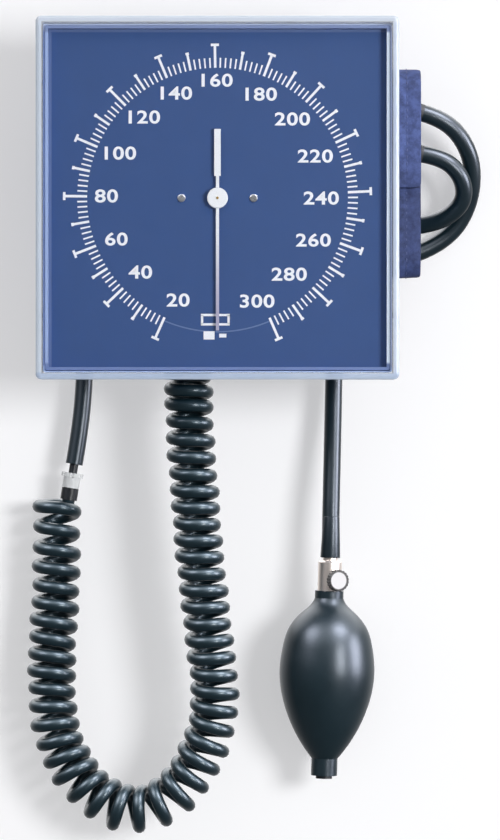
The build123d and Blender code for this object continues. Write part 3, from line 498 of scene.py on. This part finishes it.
def screw_head():
    """White plastic with a dark ring at its knurled edge."""
    made = Finish("white_plastic")
    inputs = {0: made.place(), 1: SCREW_FACE}
    off_middle = made.node("ShaderNodeVectorMath", {"operation": "DISTANCE"}, inputs, "Value")
    face_ends, grooves_start = 3.8 * MM, 4.3 * MM
    edge = off_middle.ramp(face_ends, grooves_start)
    return made.surface(
        Base_Color=made.mix(rgba(paint(226, 224, 227)), rgba(paint(52, 50, 52)), edge),
        Roughness=0.35 + 0.1 * made.noise(400),
        Normal=made.bump(made.noise(900), 0.06, POLISH_DEPTH),
    )


def hook_pile(colours):
    """Dense hooks on a dark backing."""
    made = Finish("hook_pile")
    dots = made.node("ShaderNodeTexVoronoi", inputs={"Vector": made.place(), "Scale": 900.0})
    return made.surface(
        Base_Color=made.mix(rgba(colours.binding), rgba(paint(90, 104, 150)), dots.ramp(0.1, 0.6)),
        Roughness=0.8,
        Normal=made.bump(dots, 0.8, 0.3 * MM),
    )


# Shapes
def add_object(name, data):
    made = bpy.data.objects.new(name, data)
    bpy.context.scene.collection.objects.link(made)
    return made


def show(name, data, finish, body="root", stands_for=()):
    """Add a finished shape to the scene as one piece that rides on a body."""
    made = add_object(name, data)
    data.materials.append(finish)
    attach(made, body)
    if stands_for:
        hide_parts(*stands_for)
    return made


def mesh_from(shape, name, smooth=True):
    """A finished mesh from a bmesh, which is then freed."""
    data = bpy.data.meshes.new(name)
    shape.to_mesh(data)
    shape.free()
    if smooth:
        data.shade_smooth()
        data.set_sharp_from_angle(angle=SHARP_ANGLE)
    return data


def add_block(shape, size, turn, centre):
    """Add a box of a size, turned about the dial's axis and then moved."""
    made = bmesh.ops.create_cube(shape, size=1.0)["verts"]
    bmesh.ops.scale(shape, vec=size, verts=made)
    bmesh.ops.rotate(shape, cent=(0, 0, 0), matrix=Matrix.Rotation(turn, 3, "Y"), verts=made)
    bmesh.ops.translate(shape, vec=centre, verts=made)


# Routes of the hoses, in metres, as x, y and z
BULB_ROUTE = [
    (0.0986, -0.0262, 0.0432), (0.1080, -0.0256, 0.0404), (0.1178, -0.0218, 0.0316),
    (0.1234, -0.0162, 0.0184), (0.1226, -0.0094, 0.0024), (0.1156, -0.0056, -0.0120),
    (0.1026, -0.0062, -0.0216), (0.0870, -0.0086, -0.0264), (0.0715, -0.0091, -0.0306),
    (0.0596, -0.0091, -0.0415), (0.0564, -0.0102, -0.0600), (0.0558, -0.0132, -0.0920),
    (0.0548, -0.0206, -0.1320), (0.0542, -0.0240, -0.1550), (0.0540, -0.0242, -0.1710),
]
CUFF_ROUTE = [
    (0.0986, -0.0262, 0.0234), (0.1086, -0.0258, 0.0216), (0.1174, -0.0236, 0.0132),
    (0.1194, -0.0190, 0.0024), (0.1126, -0.0156, -0.0058), (0.1020, -0.0108, -0.0098),
    (0.0880, -0.0091, -0.0114), (0.0620, -0.0091, -0.0084), (0.0320, -0.0091, -0.0100),
    (0.0000, -0.0091, -0.0076), (-0.0320, -0.0091, -0.0090), (-0.0530, -0.0091, -0.0175),
    (-0.0636, -0.0092, -0.0345), (-0.0648, -0.0096, -0.0580), (-0.0648, -0.0106, -0.0830),
    (-0.0668, -0.0126, -0.1080), (-0.0699, -0.0136, -0.1260),
]
COIL_ROUTE = [
    (-0.0148, -0.0423, -0.0795), (-0.0134, -0.0422, -0.1080), (-0.0114, -0.0417, -0.1400),
    (-0.0084, -0.0406, -0.1720), (-0.0052, -0.0398, -0.2040), (-0.0012, -0.0382, -0.2280),
    (-0.0024, -0.0364, -0.2520), (-0.0110, -0.0342, -0.2726), (-0.0220, -0.0322, -0.2856),
    (-0.0345, -0.0304, -0.2918), (-0.0480, -0.0284, -0.2914), (-0.0605, -0.0266, -0.2846),
    (-0.0710, -0.0246, -0.2724), (-0.0796, -0.0220, -0.2518), (-0.0810, -0.0198, -0.2260),
    (-0.0790, -0.0178, -0.1980), (-0.0784, -0.0164, -0.1710), (-0.0778, -0.0156, -0.1445),
]
# Turns of the curly hose, and how far along its axis in millimetres each crosses the front
COIL_TURNS = [
    (-2, -4.5), (-1, 3.5), (0, 11.0), (1, 18.0), (5, 51.1), (10, 90.6), (15, 130.9), (20, 171.9),
    (22, 189.5), (24, 207.5), (26, 228.5), (28, 248.3), (30, 267.2), (32, 283.5), (35, 309.0),
    (38, 333.0), (41, 358.2), (43, 376.3), (44, 386.3), (45, 397.0), (46, 400.0),
]
# The curly hose is wound between these turns; its leads, in millimetres, are heights and points
COIL_SPAN = (-1.9, 45.45)
COIL_LEAD = (-66.4, -71.5, -74.6)
COIL_TAIL = [
    (-76.0, -7.6, -146.0), (-73.3, -10.4, -148.2), (-73.1, -13.4, -146.6), (-72.6, -13.6, -142.9),
]
# The top of the release valve, its tilt, and the middle of its screw's face
VALVE_TOP = Vector(BULB_ROUTE[-1])
VALVE_TILT = math.radians(1.65)
SCREW_FACE = Vector((0.0578, -0.0345, -0.1817))


def smooth_curve(name, points, diameter=0.0, resolution=16):
    """One open smooth curve with these control points."""
    data = bpy.data.curves.new(name, "CURVE")
    data.dimensions = "3D"
    data.resolution_u = resolution
    spline = data.splines.new("NURBS")
    spline.points.add(len(points) - 1)
    for control, place in zip(spline.points, points):
        control.co = (*place, 1.0)
    spline.order_u = 3
    spline.use_endpoint_u = True
    data.bevel_depth = diameter / 2
    data.bevel_resolution = 5
    data.use_fill_caps = diameter > 0
    return data


def mesh_of(data):
    """The mesh that a curve or a text makes; its data is then freed."""
    probe = bpy.data.objects.new("probe", data)
    mesh = bpy.data.meshes.new_from_object(probe)
    bpy.data.objects.remove(probe)
    bpy.data.curves.remove(data)
    return mesh


class Line:
    """A smooth line with its distance from the start at every point."""

    def __init__(self, points):
        self.points = [Vector(point) for point in points]
        self.marks = [0.0]
        for before, after in zip(self.points, self.points[1:]):
            self.marks.append(self.marks[-1] + (after - before).length)
        self.length = self.marks[-1]

    def find(self, distance):
        """The place and the direction at a distance along the line."""
        number = 1
        while number < len(self.marks) - 1 and self.marks[number] < distance:
            number += 1
        low, high = self.points[number - 1], self.points[number]
        run = high - low
        share = (distance - self.marks[number - 1]) / run.length
        return low + run * share, run.normalized()


def smooth_line(points):
    """The line that the smooth curve with these control points follows."""
    mesh = mesh_of(smooth_curve("probe", points, resolution=40))
    line = Line([vertex.co for vertex in mesh.vertices])
    bpy.data.meshes.remove(mesh)
    return line


def make_hose_swell(sizes):
    """The hose's end, which swells where it is pushed on the valve."""
    shape = bmesh.new()
    radius, length = sizes.hose_diameter / 2, 20 * MM
    inside_hose, rounding = 0.3 * MM, 0.4 * MM
    bmesh.ops.create_cone(
        shape, cap_ends=True, segments=48, radius1=radius + sizes.hose_swell,
        radius2=radius - inside_hose, depth=length,
    )
    bmesh.ops.translate(shape, vec=(0, 0, length / 2), verts=shape.verts)
    rims = [
        edge for edge in shape.edges
        if len(edge.link_faces[0].verts) != len(edge.link_faces[1].verts)
    ]
    bmesh.ops.bevel(
        shape, geom=rims, offset=rounding, segments=4, profile=0.5, affect="EDGES", material=-1
    )
    bmesh.ops.rotate(
        shape, cent=(0, 0, 0), matrix=Matrix.Rotation(VALVE_TILT, 3, "Y"), verts=shape.verts
    )
    bmesh.ops.translate(shape, vec=VALVE_TOP, verts=shape.verts)
    return mesh_from(shape, "bulb_hose_end")


def between(table, value):
    """A straight-line reading from a table of pairs."""
    for (low, first), (high, second) in zip(table, table[1:]):
        if value <= high:
            break
    return first + (second - first) * (value - low) / (high - low)


def coil_line(sizes):
    """Points of the curly hose: a lead, left-handed turns along the route, and a lead."""
    axis = smooth_line(COIL_ROUTE)
    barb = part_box("inlet_barb")
    lead = (barb[0] + barb[1]) / 2
    points = [Vector((lead.x, lead.y, z * MM)) for z in COIL_LEAD]
    # A spline passes inside its points on a turn, so they stand a little further out
    reach = sizes.coil_radius / math.cos(math.pi / sizes.turn_points)
    first, last = COIL_SPAN
    levelled, narrow, opening = 0.5, 0.62, 0.9
    for number in range(round((last - first) * sizes.turn_points) + 1):
        turn = first + number / sizes.turn_points
        # Each turn lies nearly level in front and rises behind
        risen = turn - levelled / (2 * math.pi) * math.sin(2 * math.pi * turn)
        place, heading = axis.find(between(COIL_TURNS, risen) * MM)
        side = heading.cross(Vector((0, 1, 0))).normalized()
        other = side.cross(heading)
        angle = 2 * math.pi * (turn - 0.25)
        # The first turn opens from a narrow start, and no turn is quite like the next
        grown = min(1.0, narrow + (turn - first) * opening)
        wobble = 0.3 * MM * math.sin(turn * 2.1 + 0.6) + 0.2 * MM * math.sin(turn * 5.3)
        offset = side * math.cos(angle) + other * math.sin(angle)
        points.append(place + offset * (reach * grown + wobble))
    return points + [Vector(place) * MM for place in COIL_TAIL]


# The cuff
def roll_line(layer, low, high):
    """The rolled sleeve's middle, from its outer end; x is the depth and y the height."""
    half_depth = (high.y - low.y) / 2
    outer = half_depth - layer / 2
    top = high.z - layer / 2 - outer
    bottom = low.z + layer / 2 + outer - layer / 2
    start_height, inner_end, wraps, steps = 6.4 * MM, 12 * MM, 3, 24
    points = [Vector((outer, start_height, 0))]
    for wrap in range(wraps):
        upper = outer - wrap * layer
        for step in range(steps + 1):
            angle = math.pi * step / steps
            points.append(Vector((upper * math.cos(angle), top + upper * math.sin(angle), 0)))
        if wrap == wraps - 1:
            break
        lower = upper - layer / 2
        for step in range(steps + 1):
            angle = math.pi * (1 + step / steps)
            centre = Vector((-layer / 2, bottom, 0))
            points.append(centre + Vector((math.cos(angle), math.sin(angle), 0)) * lower)
    points.append(Vector((-upper, bottom + inner_end, 0)))
    return Line(points)


class RolledCloth:
    """Turns a place on the flat sleeve into its place on the roll."""

    # The ripples' height, and how far, how high and how deep a port spreads the layers
    ripple = 0.35 * MM
    port_push = 3.4 * MM
    port_reach = 6.5 * MM
    port_depth = 22 * MM

    def __init__(self, layer):
        low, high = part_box("cuff_sleeve")
        self.line = roll_line(layer, low, high)
        self.middle_y = (low.y + high.y) / 2
        self.half_depth = (high.y - low.y) / 2
        self.middle_x = (low.x + high.x) / 2
        self.half_width = (high.x - low.x) / 2
        self.ports = [Vector(BULB_ROUTE[0]), Vector(CUFF_ROUTE[0])]

    def rippled(self, along, across):
        """How far the cloth stands out in soft ripples that break up across it."""
        waves = math.sin(along * 58 + 1.1 * math.sin(across * 40))
        return self.ripple * waves * math.sin(across * 31 + along * 11) * 0.6

    def place(self, along, across, lift):
        """along counts from the outer end, across from the middle, lift out of the middle."""
        margin = 0.0001 * MM
        along = min(max(along, margin), self.line.length - margin)
        spot, direction = self.line.find(along)
        outward = Vector((direction.y, -direction.x, 0))
        spot = spot + outward * (lift + self.rippled(along, across))
        depth, height = spot.x, spot.y
        edge = (across - self.half_width + self.port_depth) / self.port_depth
        edge = max(0.0, min(1.0, edge))
        for port in self.ports:
            near = math.exp(-(((height - port.z) / self.port_reach) ** 2))
            push = self.port_push * near * edge * max(0.0, 1 - abs(depth) / self.half_depth)
            depth += push if depth > 0 else -push
        return Vector((self.middle_x + across, self.middle_y - depth, height))


def cuff_sleeve_flat(sizes, length, width, cell):
    """The flat sleeve as a closed thin shell of about square cells."""
    shape = bmesh.new()
    columns, rows = round(length / cell), round(width / cell)
    bmesh.ops.create_grid(shape, x_segments=columns, y_segments=rows, size=0.5)
    bmesh.ops.scale(shape, vec=(length, width, 1), verts=shape.verts)
    bmesh.ops.translate(shape, vec=(0, 0, -sizes.skin / 2), verts=shape.verts)
    bmesh.ops.solidify(shape, geom=shape.faces[:], thickness=sizes.skin)
    bmesh.ops.recalc_face_normals(shape, faces=shape.faces)
    data = mesh_from(shape, "cuff_flat")
    middle = sum(vertex.co.z for vertex in data.vertices) / len(data.vertices)
    data.transform(Matrix.Translation((0, 0, -middle)))
    return data


def held_by_seam(sizes, length, width, place):
    """True on the edge tape and on the seams across the sleeve."""
    if abs(place.y) > width / 2 - sizes.seam or abs(place.x) > length / 2 - sizes.seam:
        return True
    half_seam, outer_seam, inner_seam = 2.2 * MM, 60 * MM, 250 * MM
    cross_seams = (-length / 2 + outer_seam, length / 2 - inner_seam)
    return any(abs(place.x - seam) < half_seam for seam in cross_seams)


def puff(flat, sizes, held, cap):
    """Fill the flat sleeve by a cloth simulation and keep each point's lift within a cap."""
    frames = 20
    probe = add_object("cuff_probe", flat.copy())
    group = probe.vertex_groups.new(name="held")
    group.add(held, 1.0, "REPLACE")
    cloth = probe.modifiers.new("cloth", "CLOTH")
    settings = cloth.settings
    settings.quality = 6
    settings.mass = 0.2
    settings.tension_stiffness = 12
    settings.compression_stiffness = 12
    settings.bending_stiffness = 0.4
    settings.vertex_group_mass = "held"
    settings.use_pressure = True
    settings.uniform_pressure_force = sizes.pressure
    settings.effector_weights.gravity = 0
    for number in range(1, frames + 1):
        bpy.context.scene.frame_set(number)
    graph = bpy.context.evaluated_depsgraph_get()
    filled = probe.evaluated_get(graph).to_mesh()
    for vertex, moved in zip(flat.vertices, filled.vertices):
        shift = moved.co - vertex.co
        if shift.length > cap:
            shift = shift.normalized() * cap
        vertex.co += shift
    probe.evaluated_get(graph).to_mesh_clear()
    data = probe.data
    bpy.data.objects.remove(probe)
    bpy.data.meshes.remove(data)
    bpy.context.scene.frame_set(1)


def paint_cloth_map(data):
    """Keep each point's flat place as a map, so that the weave follows the roll."""
    layer = data.uv_layers.new(name="cloth")
    for loop in data.loops:
        layer.data[loop.index].uv = data.vertices[loop.vertex_index].co.xy


# Dial print
def dial_front():
    """The y of the dial's painted face."""
    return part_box("dial_plate")[0].y


# The scale isn't even: each pair is a pressure and its degrees from the bottom, clockwise
SCALE = [
    (0, 0.0), (20, 24.0), (40, 46.4), (60, 68.6), (80, 90.8), (100, 113.1), (120, 135.2),
    (140, 157.2), (160, 179.0), (180, 200.8), (200, 222.6), (220, 244.8), (240, 267.4),
    (260, 290.2), (280, 313.2), (300, 336.5),
]


def round_the_dial(value, radius):
    """The place of a pressure value on a circle; zero is at the bottom."""
    angle = math.radians(between(SCALE, value))
    return Vector((-radius * math.sin(angle), 0, -radius * math.cos(angle))), angle


def add_mark(shape, value, radius, width, height, thick):
    """Add a bar at a pressure value that points to the dial's middle."""
    middle, angle = round_the_dial(value, radius)
    middle.y = dial_front() - thick / 2
    add_block(shape, (width, thick, height), angle, middle)


def make_ticks(sizes):
    """Every tick of two, with caps on the tens and the twenties."""
    shape = bmesh.new()
    thick, inner, cap_height = sizes.ink_thick, sizes.tick_inner, 1.2 * MM
    # The step that each kind of tick marks, its outer radius, its width and its cap's width
    kinds = (
        (20, sizes.tick_major, 1.2 * MM, 3.8 * MM),
        (10, sizes.tick_middle, 1.15 * MM, 1.6 * MM),
        (2, sizes.tick_minor, 0.75 * MM, 0),
    )
    for value in range(20, 301, 2):
        outer, width, cap = next(kind[1:] for kind in kinds if value % kind[0] == 0)
        add_mark(shape, value, (inner + outer) / 2, width, outer - inner, thick)
        if cap:
            add_mark(shape, value, outer, cap, cap_height, thick * 1.1)
    return mesh_from(shape, "dial_ticks", smooth=False)


def letters(text, height, centre, thick, bold, stretch):
    """Flat lettering of a height, centred on a point of the dial."""
    half_depth = 0.01
    data = bpy.data.curves.new("letters", "FONT")
    data.body = text
    data.size = 1.0
    data.space_character = 1.08
    data.offset = bold
    data.extrude = half_depth
    data.resolution_u = 6
    mesh = mesh_of(data)
    xs = [vertex.co.x for vertex in mesh.vertices]
    ys = [vertex.co.y for vertex in mesh.vertices]
    scale = height / (max(ys) - min(ys))
    mesh.transform(Matrix.Translation((-(max(xs) + min(xs)) / 2, -(max(ys) + min(ys)) / 2, 0)))
    mesh.transform(Matrix.Diagonal((scale * stretch, scale, thick / (2 * half_depth), 1)))
    mesh.transform(Matrix.Rotation(math.pi / 2, 4, "X"))
    mesh.transform(Matrix.Translation(centre))
    return mesh


def make_numbers(sizes):
    """The plain numbers from 20 to 300, upright inside the ticks."""
    shape = bmesh.new()
    # Places of the numbers on the dial, as x and z from its middle
    places = {
        20: (-18.6, -48.5), 40: (-36.4, -35.3), 60: (-47.7, -19.7), 80: (-52.4, 0.6),
        100: (-45.8, 20.8), 120: (-34.5, 37.8), 140: (-19.4, 49.1), 160: (-0.2, 55.2),
        180: (20.6, 48.6), 200: (35.3, 36.9), 220: (46.1, 19.4), 240: (48.9, -0.4),
        260: (45.2, -20.2), 280: (33.8, -36.3), 300: (18.7, -49.0),
    }
    raised, thick = 0.45, sizes.ink_thick
    for value, (x, z) in places.items():
        centre = Vector((x * MM, dial_front() - thick / 2, (z + raised) * MM))
        mesh = letters(str(value), sizes.number_height, centre, thick, bold=0.022, stretch=1.26)
        shape.from_mesh(mesh)
        bpy.data.meshes.remove(mesh)
    return mesh_from(shape, "dial_numbers", smooth=False)


def make_zero_box(sizes):
    """The outlined zero field and two plain bars below it."""
    shape = bmesh.new()
    thick = sizes.ink_thick
    y = dial_front() - thick / 2
    left, right, low, high, line = -7.3 * MM, 5.2 * MM, -59.5 * MM, -55.1 * MM, 1.1 * MM
    middle_x, middle_z = (left + right) / 2, (low + high) / 2
    for z in (low, high):
        add_block(shape, (right - left + line, thick, line), 0, (middle_x, y, z))
    for x in (left, right):
        add_block(shape, (line, thick, high - low), 0, (x, y, middle_z))
    # Each bar's width and height, and its middle's x and z, in millimetres
    for width, height, x, z in ((5.2, 3.9, -4.0, -64.7), (3.4, 1.8, 2.5, -64.8)):
        add_block(shape, (width * MM, thick, height * MM), 0, (x * MM, y, z * MM))
    return mesh_from(shape, "dial_zero_box", smooth=False)


def make_arc(sizes):
    """The thin line that joins the scale's two ends through the bottom."""
    shape = bmesh.new()
    thick = sizes.ink_thick * 0.8
    radius, width, end = 63.0 * MM, 0.6 * MM, 23
    # One block for each degree, a little longer than its step
    length = radius * math.radians(1.05)
    for degree in range(-end, end + 1):
        angle = math.radians(degree)
        middle = (-radius * math.sin(angle), dial_front() - thick / 2, -radius * math.cos(angle))
        add_block(shape, (length, thick, width), angle, middle)
    return mesh_from(shape, "dial_arc", smooth=False)


# Each lamp's place and diameter and, where it shows only as highlights, its share of that power
LAMP_TARGET = Vector((0.0, -0.05, -0.08))
KEY_LAMP = ((1.12, -1.68, 0.1), 0.64)
GLOSS_LAMPS = (
    ((-1.2, -1.04, 1.14), 1.2, 1.9),
    ((1.05, -1.04, 1.34), 1.1, 3.6),
    ((1.92, -0.52, 0.17), 1.0, 2.8),
)
# Each plane of the room: its name, its turn about x and its middle
ROOM_PLANES = (
    ("wall", math.pi / 2, (0, 0.6 * MM, 0)),
    ("floor", 0, (0, -2.0, -1.0)),
)


# Operators, one for each piece or group of like pieces
class GAUGE_OT_set_stage(Operator):
    """Place the camera, the lamps, the wall and the floor"""

    bl_idname = "gauge.set_stage"
    bl_label = "Set stage"

    def execute(self, context):
        scene = context.scene
        stage = scene.gauge_stage
        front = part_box("clear_cover")[0].y
        lens = bpy.data.cameras.new("camera")
        lens.lens = stage.lens
        lens.sensor_width = 36
        camera = add_object("camera", lens)
        camera.location = (stage.camera_x, front - stage.camera_distance, stage.camera_z)
        camera.rotation_euler = (math.pi / 2, 0, 0)
        scene.camera = camera
        scene.view_settings.view_transform = "Standard"
        self.add_lamp("key", *KEY_LAMP, stage.key_power)
        for place, diameter, share in GLOSS_LAMPS:
            gloss = self.add_lamp("gloss", place, diameter, stage.gloss_power * share)
            gloss.visible_diffuse = False
            gloss.data.color = (0.93, 0.92, 1.0)
        self.add_room()
        self.add_world(stage.fill)
        return {"FINISHED"}

    def add_lamp(self, name, place, diameter, power):
        data = bpy.data.lights.new(name, "AREA")
        data.shape = "ELLIPSE"
        data.size = diameter
        data.size_y = diameter
        data.energy = power
        lamp = add_object(name, data)
        lamp.location = place
        lamp.rotation_mode = "QUATERNION"
        lamp.rotation_quaternion = (LAMP_TARGET - Vector(place)).to_track_quat("-Z", "Y")
        return lamp

    def add_room(self):
        """A wall and a floor that only show from the object's side."""
        made = Finish("plaster")
        behind = made.node("ShaderNodeNewGeometry", output="Backfacing")
        surface = made.surface(
            Base_Color=rgba(paint(201, 201, 203)),
            Roughness=0.9,
            Normal=made.bump(made.noise(60, 4.0), 0.02, 1 * MM),
            Specular_IOR_Level=0.1,
            Emission_Color=rgba(paint(252, 252, 253)),
            Emission_Strength=0.43,
            Alpha=1 - behind,
        )
        half_side = 2.0
        for name, turn, middle in ROOM_PLANES:
            shape = bmesh.new()
            bmesh.ops.create_grid(shape, x_segments=1, y_segments=1, size=half_side)
            data = mesh_from(shape, name, smooth=False)
            data.transform(Matrix.Rotation(turn, 4, "X"))
            data.transform(Matrix.Translation(middle))
            data.materials.append(surface)
            plane = add_object(name, data)
            plane.visible_diffuse = False
            plane.visible_shadow = False
            plane.visible_glossy = False

    def add_world(self, fill):
        """Even light, a white background, and in reflections a room with a lit wall and ceiling."""
        world = bpy.data.worlds.new("studio")
        world.use_nodes = True
        studio = Nodes(world.node_tree)
        background = studio.tree.nodes["Background"]
        background.inputs["Color"].default_value = rgba(paint(252, 252, 253))
        rays = studio.node("ShaderNodeLightPath").output.node.outputs
        straight = Socket(studio, rays["Is Camera Ray"])
        mirrored = Socket(studio, rays["Is Glossy Ray"]).larger(
            Socket(studio, rays["Is Transmission Ray"])
        )
        _, y, height = studio.split(studio.node("ShaderNodeTexCoord"))
        toward_wall = y.ramp(0.1, 0.95)
        overhead = height.ramp(0.25, 0.6) * (1 - height.ramp(0.86, 0.98))
        below = (-1 * height).ramp(0.0, 0.4)
        dim, wall_light, lost_below, ceiling_light = 0.16, 0.84, 0.6, 2.8
        room = dim + wall_light * toward_wall * (1 - lost_below * below) + ceiling_light * overhead
        strength = straight.larger(room * mirrored).larger(fill - mirrored)
        studio.fill(background.inputs["Strength"], strength)
        bpy.context.scene.world = world


class GAUGE_OT_lay_hoses(Operator):
    """Lay the two plain hoses from the cuff to the valve and to the connector"""

    bl_idname = "gauge.lay_hoses"
    bl_label = "Lay plain hoses"

    def execute(self, context):
        sizes = context.scene.gauge_hoses
        diameter = sizes.hose_diameter
        colour = context.scene.gauge_colours.hose
        finish = rubber("hose_rubber", colour, 0.27, grain=900.0, strength=0.08)
        bulb_hose = show(
            "bulb_hose_rubber", smooth_curve("bulb_hose_rubber", BULB_ROUTE, diameter), finish,
            stands_for=["bulb_hose"],
        )
        show("bulb_hose_end", make_hose_swell(sizes), finish)
        cuff_hose = show(
            "cuff_hose_rubber", smooth_curve("cuff_hose_rubber", CUFF_ROUTE, diameter), finish,
            stands_for=["cuff_hose"],
        )
        return {"FINISHED"}


class GAUGE_OT_wind_coil(Operator):
    """Wind the curly hose from the case's inlet down and round to the connector"""

    bl_idname = "gauge.wind_coil"
    bl_label = "Wind curly hose"

    def execute(self, context):
        sizes = context.scene.gauge_hoses
        points = coil_line(sizes)
        length = Line(points).length
        data = smooth_curve("curly_hose", points, sizes.tube_diameter, resolution=3)
        data.bevel_resolution = 4
        coil = show(
            "curly_hose", data, vinyl(context.scene.gauge_colours),
            stands_for=["coil_hose", "coil_leads"],
        )
        return {"FINISHED"}


class GAUGE_OT_roll_cuff(Operator):
    """Sew, fill and roll the cuff in its basket"""

    bl_idname = "gauge.roll_cuff"
    bl_label = "Roll cuff"

    def execute(self, context):
        sizes = context.scene.gauge_cuff
        colours = context.scene.gauge_colours
        roll = RolledCloth(sizes.layer)
        length = roll.line.length
        width = 2 * roll.half_width
        flat = cuff_sleeve_flat(sizes, length, width, cell=4.0 * MM)
        paint_cloth_map(flat)
        held = [
            vertex.index for vertex in flat.vertices
            if held_by_seam(sizes, length, width, vertex.co)
        ]
        puff(flat, sizes, held, cap=0.9 * MM)
        for vertex in flat.vertices:
            place = vertex.co.copy()
            vertex.co = roll.place(place.x + length / 2, place.y, place.z)
        cuff = show("cuff_rolled", flat, nylon(colours), stands_for=["cuff_sleeve"])
        detail = cuff.modifiers.new("rounding", "SUBSURF")
        detail.levels = 1
        detail.render_levels = 1
        thread = matt_paint("thread", paint(72, 87, 138))
        show("cuff_stitches", self.stitches(sizes, roll, length, width), thread)
        return {"FINISHED"}

    def stitches(self, sizes, roll, length, width):
        """Small threads along the seam inside each edge of the sleeve."""
        shape = bmesh.new()
        pitch, reach, radius = 3.2 * MM, 1.1 * MM, 0.24 * MM
        lift = sizes.skin / 2 + 0.05 * MM
        count = int((length - 2 * sizes.seam) / pitch)
        for side in (-1, 1):
            across = side * (width / 2 - sizes.seam)
            for number in range(count):
                along = sizes.seam + (number + 0.5) * pitch
                low = roll.place(along - reach, across, lift)
                high = roll.place(along + reach, across, lift)
                run = high - low
                made = bmesh.ops.create_icosphere(shape, subdivisions=1, radius=radius)["verts"]
                bmesh.ops.scale(shape, vec=(1, 1, run.length / 2 / radius), verts=made)
                turn = run.to_track_quat("Z", "Y").to_matrix()
                bmesh.ops.rotate(shape, cent=(0, 0, 0), matrix=turn, verts=made)
                bmesh.ops.translate(shape, vec=(low + high) / 2, verts=made)
        return mesh_from(shape, "cuff_stitches")


class GAUGE_OT_print_dial(Operator):
    """Print the ticks, the numbers, the zero field and the arc on the dial"""

    bl_idname = "gauge.print_dial"
    bl_label = "Print dial"

    def execute(self, context):
        sizes = context.scene.gauge_dial
        ink = matt_paint("dial_ink", context.scene.gauge_colours.ink)
        faint = matt_paint("dial_faint_ink", paint(88, 114, 162))
        show("dial_ticks", make_ticks(sizes), ink)
        show("dial_numbers", make_numbers(sizes), ink)
        show("dial_zero_box", make_zero_box(sizes), ink)
        show("dial_arc", make_arc(sizes), faint)
        return {"FINISHED"}


class GAUGE_OT_finish_frame(Operator):
    """Give every carried-over piece its real finish"""

    bl_idname = "gauge.finish_frame"
    bl_label = "Finish frame"

    def execute(self, context):
        colours = context.scene.gauge_colours
        finishes = {
            "clear_acrylic": clear_acrylic(colours),
            "navy_plastic": case_plastic(colours),
            "basket_plastic": moulded_plastic("basket_plastic", colours.navy, grain=1000, roughness=0.4),
            "dial_blue": dial_paint(colours),
            "spacer_blue": spacer_plastic(colours),
            # The pointer's colour fades into a painted darker reflection toward its lower end
            "pointer_white": matt_paint("pointer_white", colours.pointer, shaded_tip=paint(166, 163, 190)),
            "plate_steel": brushed_metal("plate_steel", paint(150, 154, 160), 0.35, (1, 1, 0.05)),
            "steel": brushed_metal("steel", paint(186, 188, 192), 0.22, (1, 0.1, 1)),
            "brass": brushed_metal("brass", paint(196, 164, 96), 0.24, (0.08, 1, 1)),
            "bronze_foil": brushed_metal("bronze_foil", paint(190, 142, 92), 0.26),
            "chrome": chrome(),
            "cuff_cloth": hook_pile(colours),
            "hook_pile": hook_pile(colours),
            "black_rubber": rubber("black_rubber", colours.hose, 0.4),
            "coil_vinyl": vinyl(colours),
            "bulb_rubber": rubber("bulb_rubber", colours.bulb, 0.29, grain=1100.0, strength=0.1),
            "bladder_rubber": rubber("bladder_rubber", paint(52, 50, 48), 0.6),
            "black_nylon": moulded_plastic("black_nylon", paint(14, 20, 28), grain=1800, roughness=0.3),
            "clear_plastic": clear_plastic(),
            "white_plastic": screw_head(),
            "seal_rubber": rubber("seal_rubber", paint(60, 56, 52), 0.55),
        }
        own_finish = {"pointer_arbor": finishes["brass"]}
        for row in frame["record"]["subparts"]:
            node = frame["nodes"][row["node"]]
            for slot in node.material_slots:
                slot.material = own_finish.get(row["node"], finishes[row["material_slot"]])
        return {"FINISHED"}


class GAUGE_PT_panel(Panel):
    """The steps that dress the gauge"""

    bl_label = "Gauge"
    bl_idname = "GAUGE_PT_panel"
    bl_space_type = "VIEW_3D"
    bl_region_type = "UI"
    bl_category = "Gauge"

    def draw(self, context):
        for step in STEPS:
            self.layout.operator(step.bl_idname)


GROUPS = {
    "gauge_colours": GaugeColours,
    "gauge_dial": GaugeDial,
    "gauge_hoses": GaugeHoses,
    "gauge_cuff": GaugeCuff,
    "gauge_stage": GaugeStage,
}
STEPS = [
    GAUGE_OT_set_stage,
    GAUGE_OT_lay_hoses,
    GAUGE_OT_wind_coil,
    GAUGE_OT_roll_cuff,
    GAUGE_OT_print_dial,
    GAUGE_OT_finish_frame,
]


def register():
    for name, group in GROUPS.items():
        bpy.utils.register_class(group)
        setattr(bpy.types.Scene, name, PointerProperty(type=group))
    for made in (*STEPS, GAUGE_PT_panel):
        bpy.utils.register_class(made)


def unregister():
    for made in (GAUGE_PT_panel, *reversed(STEPS)):
        bpy.utils.unregister_class(made)
    for name, group in GROUPS.items():
        delattr(bpy.types.Scene, name)
        bpy.utils.unregister_class(group)


def main():
    """Dress the gauge step by step."""
    register()
    bpy.ops.gauge.set_stage()
    bpy.ops.gauge.lay_hoses()
    bpy.ops.gauge.wind_coil()
    bpy.ops.gauge.roll_cuff()
    bpy.ops.gauge.print_dial()
    bpy.ops.gauge.finish_frame()


if __name__ == "__main__":
    main()
